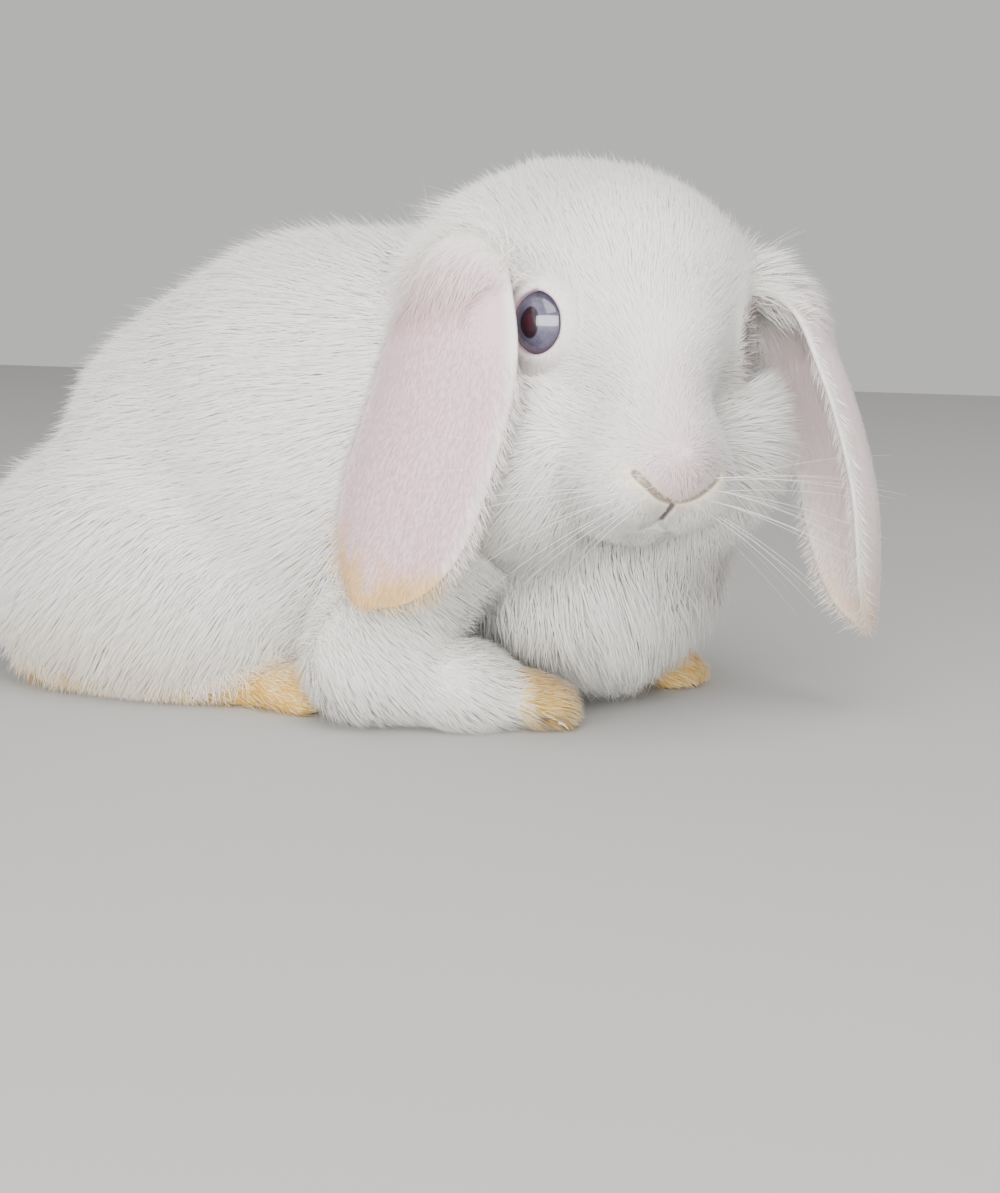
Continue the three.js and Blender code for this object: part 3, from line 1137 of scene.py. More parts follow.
def build_skin():
    settings = bpy.context.scene.rabbit_skin
    points, faces, normals, folds = make_skin(settings)
    mesh = mesh_from("skin", points, faces)
    piece = new_object("skin", mesh)
    bpy.context.view_layer.objects.active = piece
    piece.select_set(True)
    bpy.ops.object.mode_set(mode="EDIT")
    bpy.ops.mesh.select_all(action="SELECT")
    bpy.ops.uv.smart_project(angle_limit=math.radians(UNWRAP_ANGLE), island_margin=UNWRAP_MARGIN)
    bpy.ops.object.mode_set(mode="OBJECT")
    piece.select_set(False)
    mesh.uv_layers.active.name = "OFBake"
    mesh.normals_split_custom_set_from_vertices(normals.tolist())
    markings = Markings(folds)
    set_markings(mesh, markings.at(points))
    set_attribute(mesh, "nap", nap_coordinates(points))
    mesh.materials.append(skin_material())
    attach(piece, "root")
    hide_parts(*FLESH_NODES)

    uv = np.zeros(len(mesh.loops) * 2, np.float32)
    mesh.uv_layers["OFBake"].data.foreach_get("uv", uv)
    Skin.points, Skin.normals, Skin.triangles = points, normals, faces
    Skin.uv = uv.reshape(-1, 3, 2)
    Skin.markings = markings
    Skin.crease_gap = markings.crease_distance(points)


# ---- The coat: thin solid tufts over the skin ----
@dataclass
class Growth:
    """How the hair grows on one part of the body."""

    density: float  # tufts on a square millimetre
    width: float  # of one tuft, in millimetres
    reach: float  # length of a tuft for each millimetre of the coat's depth
    clump: float  # how far tips draw together, from 0 to 1
    sway: float  # how much neighbouring tufts wander


GROWTHS = {
    "trunk": Growth(4.2, 0.29, 1.7, 0.12, 0.2),
    "neck": Growth(4.0, 0.28, 1.6, 0.15, 0.2),
    "head": Growth(5.6, 0.20, 1.55, 0.18, 0.18),
    "tail": Growth(4.6, 0.24, 1.4, 0.1, 0.25),
    "foreleg": Growth(3.6, 0.26, 1.8, 0.2, 0.18),
    "paw": Growth(5.0, 0.20, 1.9, 0.2, 0.12),
    "thigh": Growth(3.9, 0.29, 1.7, 0.14, 0.2),
    "foot": Growth(4.0, 0.22, 1.9, 0.2, 0.12),
    "ear": Growth(2.8, 0.18, 3.4, 0.1, 0.12),
}
BREAST = Growth(3.6, 0.30, 1.75, 0.5, 0.35)
NOSE = spot(0, 45, -15)
CLUMP_SPACING = 3.6
PATCH = 0.0015  # half the side of a tuft's patch in the unwrap
ROOT_DEPTH = 0.3
FLOOR_GAP = 0.05
CROWN_OVER_EARS = 3.2  # extra depth of the hair over the ears' roots
EAR_FRINGE = 0.7  # and along their edges
FULL_CHEEK = 3.2  # and on the far cheek
GUARD_SHARE = 0.12
STEEPEST = 0.93  # the most that a tuft's height is of its length
EAR_CLEARANCE = 0.5
CUTS = 2  # times that a tuft is cut back before it is left out
CUT_TO = 0.45
RING_AT = 0.42  # share of a tuft's length at which it is widest
TUFT_FACES = np.array([(0, 1, 2), (0, 2, 3), (0, 3, 1), (2, 1, 4), (3, 2, 4), (1, 3, 4)])
UNDER_FACES = [0, 3]
TUFT_ALONG = np.array([0.0, RING_AT, RING_AT, RING_AT, 1.0])
TUFT_ACROSS = np.array([0.0, -1.0, 1.0, 0.3, 0.0])


def part_kind(name):
    return name.split("_")[0]


PART_BLEND = 1.6  # how far past its own skin a part still counts
FACE_BACK = -8  # in the head's frame, where the crown's piece begins
BACK_HEIGHT = 62  # where the flanks end and the back begins
CHEST_SHARE = 0.3


def part_shares(p):
    """How much each part's own skin is at each point."""
    gaps = {name: field(p) for name, (field, _) in PARTS.items()}
    nearest = np.min(list(gaps.values()), axis=0)
    shares = {name: np.exp(-(gap - nearest) / PART_BLEND) for name, gap in gaps.items()}
    total = np.sum(list(shares.values()), axis=0)
    return {name: share / total for name, share in shares.items()}


def breast_share(p):
    """The chest under the chin, where the hair hangs in long locks."""
    return (1 - smooth_step(p[:, 1], -48, -34)) * (1 - smooth_step(p[:, 2], 44, 62))


def lie_of(p, shares):
    """The way the hair lies, before it is laid along the skin."""
    q = to_head(p)
    breast = breast_share(p)[:, None]
    trunk_lie = mix(np.array([0, 1.0, -0.4]), np.array([0.0, -0.2, -1.0]), breast)
    low = (1 - smooth_step(q[:, 2], -30, -8))[:, None]
    head_lie = unit(q - NOSE) + low * spot(0, 0, -0.9)
    result = np.zeros_like(p)
    for name, share in shares.items():
        kind = part_kind(name)
        side = int(name.split("_")[1]) if "_" in name else 0
        if kind == "head":
            lie = aimed_from_head(head_lie)
        elif kind == "ear":
            lie = aimed_from_head(ear_lie(side, q, share))
        elif kind in ("foreleg", "paw"):
            _, elbow, wrist, toes = FORELEGS[side].joints()
            lie = unit(toes - wrist) if kind == "paw" else unit(wrist - elbow) + np.array([0, 0, -0.5])
        elif kind == "foot":
            lie = np.array([0, -1.0, -0.15])
        elif kind == "thigh":
            lie = np.array([0, 0.55, -0.8])
        elif kind == "tail":
            lie = np.array([0, 0.7, 0.5])
        elif kind == "neck":
            lie = mix(np.array([0, 1.0, -0.3]), np.array([0.0, -0.2, -1.0]), breast)
        else:
            lie = trunk_lie
        result += share[:, None] * lie
    return unit(result)


def ear_lie(side, q, share):
    """Down the ear, turning out over its edges."""
    lie = np.tile(spot(0, 0, -1), (len(q), 1))
    shape = EAR_SHAPES[side]
    on = (share > 0.02) & shape.boxed(q)
    if on.any():
        t, u, *_ = shape.place(q[on])
        row = np.clip((t * (EAR_STEPS - 1)).astype(int), 0, EAR_STEPS - 1)
        over = np.sign(u) * smooth_step(np.abs(u), 0.75, 1.0) * 1.2
        lie[on] = shape.down[row] + over[:, None] * shape.chord[row]
    return lie


def scattered(density, seed):
    """Roots over the skin, evenly spread: triangle, place in it and the random source."""
    rng = np.random.default_rng(seed)
    corners = Skin.points[Skin.triangles]
    area = size_of(np.cross(corners[:, 1] - corners[:, 0], corners[:, 2] - corners[:, 0])) / 2
    wanted = area * density[Skin.triangles].mean(1)
    total = np.cumsum(wanted) + rng.random()
    count = np.diff(np.floor(total), prepend=0).astype(int)
    triangle = np.repeat(np.arange(len(area)), count)
    a, b = rng.random((2, len(triangle)))
    folded = a + b > 1
    a, b = np.where(folded, 1 - a, a), np.where(folded, 1 - b, b)
    return triangle, np.stack([1 - a - b, a, b], -1), rng


def blended(values, triangle, place):
    corners = values[Skin.triangles[triangle]]
    return np.einsum("nk...,nk->n...", corners, place)


def clump_pull(root, tip, seed):
    """From each tip to the middle of the tips of its clump."""
    rng = np.random.default_rng(seed)
    picks = rng.permutation(len(root))[: max(8, int(len(root) / (1.6 * CLUMP_SPACING**2)))]
    tree = kdtree.KDTree(len(picks))
    for i, pick in enumerate(picks):
        tree.insert(root[pick], i)
    tree.balance()
    owner = np.array([tree.find(r)[1] for r in root])
    return tip[picks][owner] - tip


def spindles(root, normal, lie, length, height, width, bend, pull):
    """Closed tufts: a root point, a three-sided ring and a tip, as points and outward faces."""
    along = np.sqrt(np.maximum(length**2 - height**2, 0.2))

    def spine(s):
        rise = height * (1 - (1 - s) ** 2) - ROOT_DEPTH * (1 - s)
        flat = lie * (along * s)[:, None] + bend * (length * s * s)[:, None]
        return root + flat + normal * rise[:, None] + pull * s * s

    points = [spine(0.0)]
    upward = [normal]
    ahead = unit(spine(RING_AT + 0.2) - spine(RING_AT - 0.2))
    side = unit(np.cross(ahead, normal))
    top = np.cross(side, ahead)
    half = (width / 2)[:, None]
    for across, up in ((-1, 0), (1, 0), (0, 0.5)):
        points.append(spine(RING_AT) + side * half * across + top * half * up)
        upward.append(unit(normal + 0.35 * side * across + 0.1 * lie))
    points.append(spine(1.0))
    upward.append(unit(normal + 0.2 * lie))
    upward = np.stack(upward, 1)
    shade = upward[:, TUFT_FACES]
    # The two faces under a tuft look down and outwards, so they aren't shaded as if lit from above.
    shade[:, UNDER_FACES] = unit(0.6 * lie - top)[:, None, None]
    return np.stack(points, 1), shade


def grown(key, shares, breast):
    """One measure of the hair, blended from those of the parts that meet at each point."""
    value = sum(share * getattr(GROWTHS[part_kind(name)], key) for name, share in shares.items())
    return mix(value, getattr(BREAST, key), breast)


def hair_roots():
    """Place, normal and unwrap of every root, and the random source."""
    settings = bpy.context.scene.rabbit_coat
    p = Skin.points
    shares = part_shares(p)
    breast = breast_share(p) * (shares["trunk"] + shares["neck"])
    density = grown("density", shares, breast) * settings.density
    density *= smooth_step(p[:, 2], 0.2, 1.5)
    belly = (Skin.normals[:, 2] < -0.6) & (p[:, 2] < 12) & (np.abs(p[:, 0]) < 20)
    density *= np.where(belly, 0.35, 1)
    q = to_head(p)
    for side in (-1, 1):
        near = size_of(q - eye_centre(side)) < EYE_RADIUS + 5
        rim = eye_opening(side)(q)
        density = np.where(near & (rim < 0.3), 0, density)
        density = np.where(near, density * mix(2.2, 1.0, smooth_step(rim, 1, 5)), density)
    density[Skin.crease_gap < 1.0] = 0
    muzzle = 1 - smooth_step(size_of(q - spot(0, 36, -22)), 9, 18)
    density *= 1 + 0.8 * muzzle
    triangle, place, rng = scattered(density, SEED)
    root = blended(p, triangle, place)
    normal = unit(blended(Skin.normals, triangle, place))
    uv = np.einsum("nkj,nk->nj", Skin.uv[triangle], place)
    return root, normal, uv, rng


def laid_out(root, shares, breast):
    """Depth, length, width and lie of the hair at each root, before chance is added."""
    q = to_head(root)
    depth = np.clip(-flesh(root, 1.0), 0.5, 11)
    # The hair of the crown runs on over the roots of the ears.
    ear_root = sum(
        shares[f"ear_{side}"] * (1 - smooth_step(EAR_SHAPES[side].run(q), 0.12, 0.36))
        for side in (-1, 1)
    )
    depth += CROWN_OVER_EARS * ear_root
    # A soft fringe stands off the ears' edges.
    fringe = np.zeros(len(root))
    for side in (-1, 1):
        on = (shares[f"ear_{side}"] > 0.5) & (EAR_SHAPES[side].run(q) < 0.999)
        fringe[on] = smooth_step(np.abs(EAR_SHAPES[side].place(q[on])[1]), 0.8, 0.98)
    depth += EAR_FRINGE * fringe
    # The temple and cheek turned from the light wear the fullest hair.
    full = 1 - smooth_step(size_of((q - spot(25, 20, -2)) / (1.0, 1.5, 2.0)), 5, 15)
    depth += FULL_CHEEK * full * shares["head"]
    reach = grown("reach", shares, breast)
    length = depth * mix(reach, GROWTHS["head"].reach * 1.3, ear_root)
    width = grown("width", shares, breast)
    lie = lie_of(root, shares)
    # Hair parts round the eyes and shortens towards the lids, the nostrils and the lips.
    for side in (-1, 1):
        away = q - lid_middle(side)
        rim = eye_opening(side)(q)
        near = (1 - smooth_step(rim, 0.5, 6.0)) * (1 - smooth_step(size_of(away), 8.0, 15.0))
        lie += aimed_from_head(unit(away)) * (1.6 * near)[:, None]
        near *= 1.0 if side < 0 else 0.6
        depth = depth * mix(1.0, 0.34, near)
        length = length * mix(1.0, 0.42, near)
        width = width * mix(1.0, 0.7, near)
    gap = Skin.markings.crease_distance(root)
    short = mix(0.35, 1.0, smooth_step(gap, 1.0, 4.5))
    length = np.maximum(length * short, mix(0.45, 1.3, smooth_step(gap, 1.2, 3.2)))
    depth = np.maximum(depth * short, 0.3)
    chin = 1 - smooth_step(size_of(q - spot(0, 30, -30)), 8, 17)
    muzzle = shares["head"] * chin * smooth_step(gap, 0.9, 2.5)
    depth = np.maximum(depth, 1.1 * muzzle)
    length = np.maximum(length, 3.2 * muzzle)
    # Toes are furred right over their ends.
    toes = sum(share for name, share in shares.items() if part_kind(name) in ("paw", "foot"))
    depth = np.maximum(depth, 1.3 * toes)
    length = np.maximum(length, 3.4 * toes)
    width = width * mix(0.7, 1.0, smooth_step(gap, 0.7, 5.0))
    return depth, length, width, lie


def tuft_tips(root, normal, lie, length, height, least=0.0):
    """Where tufts of a length and a height over the skin end."""
    along = np.sqrt(np.maximum(length**2 - height**2, least))
    return root + lie * along[:, None] + normal * height[:, None]


def into_ears(root, normal, height, tip, pull, body):
    """Which tufts of the body run into an ear that hangs over them."""
    blocked = np.zeros(len(root), bool)
    for s in (0.5, 1.0):
        at = root + (tip - root + pull) * s + normal * (height * (1 - s) * s)[:, None]
        at = to_head(at[body])
        gap = np.minimum(*(EAR_SHAPES[side].field(at, root_free=True) for side in (-1, 1)))
        blocked[body] |= gap < EAR_CLEARANCE
    return blocked


def before_eyes(root, tip, pull):
    """Which tufts hang across the opening of an eye."""
    across = np.zeros(len(root), bool)
    for s in (0.3, 0.6, 1.0):
        at = to_head(root + (tip - root + pull) * s)
        for side in (-1, 1):
            near = size_of(at - eye_centre(side)) < EYE_RADIUS + 9
            across[near] |= eye_opening(side)(at[near]) <= 0.4
    return across


def coat_zones(root, shares, breast):
    """The tufts of each piece of the coat."""
    q = to_head(root)
    strongest = np.argmax(list(shares.values()), axis=0)
    kind = np.array([part_kind(name) for name in shares])[strongest]
    front, right = q[:, 1] < FACE_BACK, q[:, 0] < 0
    left, high = root[:, 0] > 0, root[:, 2] > BACK_HEIGHT
    head, ear = kind == "head", kind == "ear"
    body = np.isin(kind, ["trunk", "neck"])
    chest = breast > CHEST_SHARE
    return {
        "coat_face_right": head & front & right,
        "coat_face_left": head & front & ~right,
        "coat_crown": head & ~front,
        "coat_ear_right": ear & right,
        "coat_ear_left": ear & ~right,
        "coat_forelegs": kind == "foreleg",
        "coat_paws": kind == "paw",
        "coat_feet": kind == "foot",
        "coat_haunches": np.isin(kind, ["thigh", "tail"]),
        "coat_breast": body & chest,
        "coat_back_right": body & ~chest & ~left & high,
        "coat_back_left": body & ~chest & left & high,
        "coat_flank_right": body & ~chest & ~left & ~high,
        "coat_flank_left": body & ~chest & left & ~high,
    }


def tuft_mesh(zone, tufts, uv, marks, strand):
    """A mesh of closed tufts, each unwrapped and marked as its root is."""
    points, shade = spindles(*tufts)
    points[..., 2] = np.maximum(points[..., 2], FLOOR_GAP)
    count, corners = len(uv), len(TUFT_ALONG)
    faces = (TUFT_FACES[None] + np.arange(count)[:, None, None] * corners).reshape(-1, 3)
    mesh = mesh_from(zone, points.reshape(-1, 3), faces)
    mesh.normals_split_custom_set(shade.reshape(-1, 3).tolist())
    patch = np.stack([TUFT_ACROSS, TUFT_ALONG * 2 - 1], -1) * PATCH
    unwrap = np.clip(uv[:, None, :] + patch[None], 0, 1).reshape(-1, 2)
    layer = mesh.uv_layers.new(name="OFBake")
    layer.data.foreach_set("uv", unwrap[faces.ravel()].astype(np.float32).ravel())
    for name, values in marks.items():
        set_attribute(mesh, name, np.repeat(values, corners))
    set_attribute(mesh, "along", np.tile(TUFT_ALONG, count))
    set_attribute(mesh, "strand", np.repeat(strand, corners))
    return mesh


def build_coat():
    root, normal, uv, rng = hair_roots()
    count = len(root)
    shares = part_shares(root)
    breast = breast_share(root) * (shares["trunk"] + shares["neck"])
    depth, length, width, lie = laid_out(root, shares, breast)
    sway = grown("sway", shares, breast)[:, None]
    lie = unit(lie) + drift(root, 7.0, 3) * sway + rng.normal(0, 0.1, root.shape)
    lie = tangent(lie, normal)
    bend = tangent(drift(root, 4.0, 9), normal) * (0.12 * rng.random(count))[:, None]
    length = length * rng.uniform(0.75, 1.2, count)
    height = depth * rng.uniform(0.6, 1.08, count) * (1 + 0.12 * wander(root, 5.0, 21))
    width = width * rng.uniform(0.75, 1.2, count)
    # Thin guard hairs stand clear of the rest.
    guard = rng.random(count) < GUARD_SHARE
    height = height * np.where(guard, 1.4, 1.0)
    width = width * np.where(guard, 0.6, 1.0)
    height = np.minimum(height, length * STEEPEST)

    tip = tuft_tips(root, normal, lie, length, height)
    pull = clump_pull(root, tip, SEED + 1)
    closest = np.minimum(1, length * 0.5 / np.maximum(size_of(pull), 0.1))
    pull *= (grown("clump", shares, breast) * closest)[:, None]

    # Hair of the head and body is cut back where it runs into an ear, or else left out.
    body = shares["ear_-1"] + shares["ear_1"] < 0.5
    for _ in range(CUTS):
        blocked = into_ears(root, normal, height, tip, pull, body)
        length[blocked] *= CUT_TO
        height[blocked] *= CUT_TO
        pull[blocked] *= 0.2
        tip = tuft_tips(root, normal, lie, length, height, 0.1)
    kept = ~into_ears(root, normal, height, tip, pull, body) & ~before_eyes(root, tip, pull)

    marks = Skin.markings.at(root)
    strand = rng.random(count)
    marks["stain"] = marks["stain"] * rng.uniform(0.45, 1.1, count).clip(0, 1)
    material = hair_material()
    tufts = (root, normal, lie, length, height, width, bend, pull)
    for zone, chosen in coat_zones(root, shares, breast).items():
        pick = np.flatnonzero(chosen & kept)
        picked_marks = {name: values[pick] for name, values in marks.items()}
        picked = [values[pick] for values in tufts]
        mesh = tuft_mesh(zone, picked, uv[pick], picked_marks, strand[pick])
        mesh.materials.append(material)
        piece = new_object(zone, mesh)
        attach(piece, "root")


# ---- Eyes ----
SIDES = {"right": -1, "left": 1}
EYE_RINGS = 56
EYE_AROUND = 72
CORNEA_SWELL = 0.45
CORNEA_SPREAD = 0.62  # radians from the middle of the gaze


def closed_rings(rings, around):
    """Faces over rings of points, closed by two poles that follow them in the list."""
    first = rings * around
    last_ring = first - around
    faces = []
    for j in range(around):
        k = (j + 1) % around
        faces += [(first, j, k), (first + 1, last_ring + k, last_ring + j)]
        for i in range(rings - 1):
            b, c = i * around, (i + 1) * around
            faces += [(b + j, c + j, c + k), (b + j, c + k, b + k)]
    return np.array(faces)


def build_eyes():
    material = eye_material()
    for name, side in SIDES.items():
        axes = eye_axes(side, PUPIL_AZIMUTH)
        polar = np.linspace(0, math.pi, EYE_RINGS + 1)[1:-1]
        turn_by = np.linspace(0, 2 * math.pi, EYE_AROUND, endpoint=False)
        p, a = np.meshgrid(polar, turn_by, indexing="ij")
        local = np.stack([np.sin(p) * np.cos(a), np.sin(p) * np.sin(a), np.cos(p)], -1).reshape(-1, 3)
        local = np.vstack([local, [(0, 0, 1), (0, 0, -1)]])
        # The cornea stands a little proud of the ball.
        off_gaze = np.arccos(np.clip(local[:, 2], -1, 1))
        swell = CORNEA_SWELL * np.exp(-(off_gaze / CORNEA_SPREAD) ** 2)
        local = local * (EYE_RADIUS + swell)[:, None]
        points = from_head(turn(local, axes) + eye_centre(side))
        faces = outward(points, closed_rings(EYE_RINGS - 1, EYE_AROUND))
        mesh = mesh_from(f"eyeball_{name}", points, faces)
        set_attribute(mesh, "gaze", local)
        mesh.materials.append(material)
        piece = new_object(f"eyeball_{name}", mesh)
        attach(piece, "root")
        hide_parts(f"eye_{name}")


def outward(points, faces):
    """The same faces, turned if they enclose a negative volume."""
    v = points[faces] - points.mean(0)
    return faces if dot(np.cross(v[:, 0], v[:, 1]), v[:, 2]).sum() > 0 else faces[:, ::-1]


# ---- Claws ----
def claw(base, heading):
    """A curved tapering claw from inside the toe forwards and down to the floor."""
    settings = bpy.context.scene.rabbit_claws
    length, thick = settings.length / MM, settings.radius / MM
    rings, around = 7, 10
    across = unit(np.cross(heading, (0, 0, 1)))
    points = []
    for i in range(rings):
        t = i / (rings - 1)
        middle = base + heading * length * t + np.array([0, 0, 0.5 * t - 1.9 * t * t])
        ahead = unit(heading * length + np.array([0, 0, 0.5 - 3.8 * t]))
        radius = thick * (1 - 0.93 * t**1.5)
        for j in range(around):
            a = 2 * math.pi * j / around
            rim = across * math.cos(a) * 0.8 + np.cross(across, ahead) * math.sin(a)
            points.append(middle + radius * rim)
    points += [base, middle]
    points = np.array(points)
    points[:, 2] = np.maximum(points[:, 2], 0.1)
    return points, outward(points, closed_rings(rings, around))


def build_claws():
    groups = {}
    for name, side in SIDES.items():
        groups[f"claws_fore_{name}"] = paw_toes(side)
        groups[f"claws_hind_{name}"] = foot_toes(side)
    material = horn_material()
    for name, toes in groups.items():
        points, faces = [], []
        for start, end in toes:
            heading = unit((end - start) * (1, 1, 0))
            p, f = claw(end + heading * 1.2, heading)
            faces.append(f + sum(len(x) for x in points))
            points.append(p)
        mesh = mesh_from(name, np.vstack(points), np.vstack(faces))
        mesh.materials.append(material)
        piece = new_object(name, mesh)
        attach(piece, "root")


# ---- Whiskers ----
WHISKER_SPARE = 9.0  # how far tips may pass the solids, with 3% of each side on top
WHISKER_ROWS = 4
WHISKER_COLUMNS = 5
BROW_HAIRS = 4


def whisker_roots():
    """Root, aim and length in millimetres of every whisker and brow hair."""
    rng = np.random.default_rng(SEED + 5)
    plain = skin_field(names=HEAD_PARTS)
    roots, aims, reaches = [], [], []
    for side in (-1, 1):
        for row in range(WHISKER_ROWS):
            for column in range(WHISKER_COLUMNS):
                left = side * (5.0 + 1.9 * column + 0.5 * row)
                root = face_point(left, -19.5 - 2.1 * row - 0.3 * column, plain)
                fan = math.radians(10 - 14 * row + rng.uniform(-9, 9))
                back = 0.25 - 0.16 * column + rng.uniform(-0.08, 0.08)
                roots.append(root)
                aims.append(spot(side * math.cos(fan), back, math.sin(fan)))
                longer = 9 if side > 0 else 0
                reaches.append((25 + longer + 4.5 * column + rng.uniform(-6, 6)) * (1 - 0.08 * row))
        for hair in range(BROW_HAIRS):
            brow = np.array([-6.5 + 1.3 * hair, 9.0, 4.5])
            roots.append(eye_centre(side) + turn(brow, eye_axes(side, LID_AZIMUTH)))
            aims.append(spot(side * (0.5 + 0.12 * hair), 0.45 - 0.12 * hair, 0.95))
            reaches.append((13 if side < 0 else 19) + 3 * rng.random())
    roots = from_head(np.array(roots))
    aims = unit(aimed_from_head(np.array(aims)))
    return roots, aims, np.array(reaches)


def whisker_tree():
    tree = bpy.data.node_groups.new("Whiskers", "GeometryNodeTree")
    sockets = {
        "Geometry": "NodeSocketGeometry",
        "Thickness": "NodeSocketFloat",
        "Droop": "NodeSocketFloat",
        "Points": "NodeSocketInt",
        "Material": "NodeSocketMaterial",
    }
    for name, kind in sockets.items():
        tree.interface.new_socket(name, in_out="INPUT", socket_type=kind)
    tree.interface.new_socket("Geometry", in_out="OUTPUT", socket_type="NodeSocketGeometry")
    given = add_node(tree, "NodeGroupInput").outputs
    aim = add_node(tree, "GeometryNodeInputNamedAttribute", {"Name": "aim"}, data_type="FLOAT_VECTOR")
    reach = add_node(tree, "GeometryNodeInputNamedAttribute", {"Name": "reach"}, data_type="FLOAT")
    straight = add_node(tree, "GeometryNodeCurvePrimitiveLine", {"End": (0, 0, 1)})
    hair = add_node(
        tree, "GeometryNodeResampleCurve", {"Curve": straight.outputs[0], "Count": given["Points"]}
    )
    turned_to = add_node(
        tree, "FunctionNodeAlignRotationToVector", {"Vector": aim.outputs["Attribute"]}, axis="Z"
    )
    placed = add_node(
        tree,
        "GeometryNodeInstanceOnPoints",
        {
            "Points": given["Geometry"],
            "Instance": hair.outputs["Curve"],
            "Rotation": turned_to.outputs["Rotation"],
            "Scale": reach.outputs["Attribute"],
        },
    )
    loose = add_node(tree, "GeometryNodeRealizeInstances", {"Geometry": placed.outputs[0]})
    along = add_node(tree, "GeometryNodeSplineParameter")
    square = add_node(tree, "ShaderNodeMath", {0: along.outputs["Factor"], 1: 2.0}, operation="POWER")
    fall = add_node(
        tree, "ShaderNodeMath", {0: square.outputs[0], 1: given["Droop"]}, operation="MULTIPLY"
    )
    down = add_node(tree, "ShaderNodeMath", {0: fall.outputs[0], 1: -1.0}, operation="MULTIPLY")
    offset = add_node(tree, "ShaderNodeCombineXYZ", {"Z": down.outputs[0]})
    drooped = add_node(
        tree, "GeometryNodeSetPosition", {"Geometry": loose.outputs[0], "Offset": offset.outputs[0]}
    )
    taper = add_node(
        tree, "ShaderNodeMapRange", {"Value": along.outputs["Factor"], "To Min": 1.0, "To Max": 0.15}
    )
    radius = add_node(
        tree, "ShaderNodeMath", {0: taper.outputs[0], 1: given["Thickness"]}, operation="MULTIPLY"
    )
    sized = add_node(
        tree, "GeometryNodeSetCurveRadius", {"Curve": drooped.outputs[0], "Radius": radius.outputs[0]}
    )
    ring = add_node(tree, "GeometryNodeCurvePrimitiveCircle", {"Resolution": 5, "Radius": 1.0})
    solid = add_node(
        tree,
        "GeometryNodeCurveToMesh",
        {"Curve": sized.outputs[0], "Profile Curve": ring.outputs[0], "Fill Caps": True},
    )
    if "Scale" in solid.inputs:
        widths = add_node(tree, "GeometryNodeInputRadius")
        tree.links.new(widths.outputs[0], solid.inputs["Scale"])
    real = add_node(tree, "GeometryNodeRealizeInstances", {"Geometry": solid.outputs[0]})
    finished = add_node(
        tree,
        "GeometryNodeSetMaterial",
        {"Geometry": real.outputs[0], "Material": given["Material"]},
    )
    add_node(tree, "NodeGroupOutput", {"Geometry": finished.outputs[0]})
    return tree


def build_whiskers():
    settings = bpy.context.scene.rabbit_whiskers
    roots, aims, reaches = whisker_roots()
    # No tip strays far past the solids' own box.
    low, high = solids_box()
    spare = WHISKER_SPARE + 0.03 * (high - low)
    low, high = low - spare, high + spare
    for _ in range(12):
        tips = roots + aims * reaches[:, None]
        reaches = np.where(((tips < low) | (tips > high)).any(-1), reaches * 0.92, reaches)
    mesh = bpy.data.meshes.new("whisker_roots")
    mesh.from_pydata((roots * MM).tolist(), [], [])
    set_attribute(mesh, "aim", aims)
    set_attribute(mesh, "reach", reaches * MM)
    bristles = new_object("whisker_roots", mesh)
    modifier = bristles.modifiers.new("Whiskers", "NODES")
    modifier.node_group = whisker_tree()
    wanted = {
        "Thickness": settings.thickness,
        "Droop": settings.droop,
        "Points": settings.points,
        "Material": whisker_material(),
    }
    for item in modifier.node_group.interface.items_tree:
        if item.in_out == "INPUT" and item.name in wanted:
            modifier[item.identifier] = wanted[item.name]
    bpy.context.view_layer.update()
    evaluated = bristles.evaluated_get(bpy.context.evaluated_depsgraph_get())
    plain = bpy.data.meshes.new_from_object(evaluated)
    bpy.data.objects.remove(bristles)
    piece = new_object("whiskers", plain)
    plain.name = "whiskers"
    plain.shade_smooth()
    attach(piece, "root")


# ---- Stage ----
FLOOR_HALF = 900.0
SURROUNDINGS_STRENGTH = 0.9
# Place, target and size of each lamp, in metres.
OVERHEAD = (-0.35, -0.3, 0.8), (0, -0.02, 0.05), (0.8, 0.8)
WINDOW = (-0.75, -0.185, 0.215), (-0.02, -0.065, 0.08), (0.85, 0.42)
SENSOR_WIDTH = 36.0
IMAGE_HEIGHT = 1193
FOCAL_PIXELS = 2000  # focal length as a number of pixels of the image
CAMERA_PLACE = (-375.7, -214.9, 94.3)
CAMERA_AZIMUTH = -65
CAMERA_PITCH = 10


def lamp(name, place, target, size, power):
    data = bpy.data.lights.new(name, "AREA")
    data.shape = "RECTANGLE"
    data.size, data.size_y = size
    data.energy = power
    light = bpy.data.objects.new(name, data)
    light.location = Vector(place)
    light.rotation_euler = (Vector(target) - Vector(place)).to_track_quat("-Z", "Y").to_euler()
    bpy.context.scene.collection.objects.link(light)


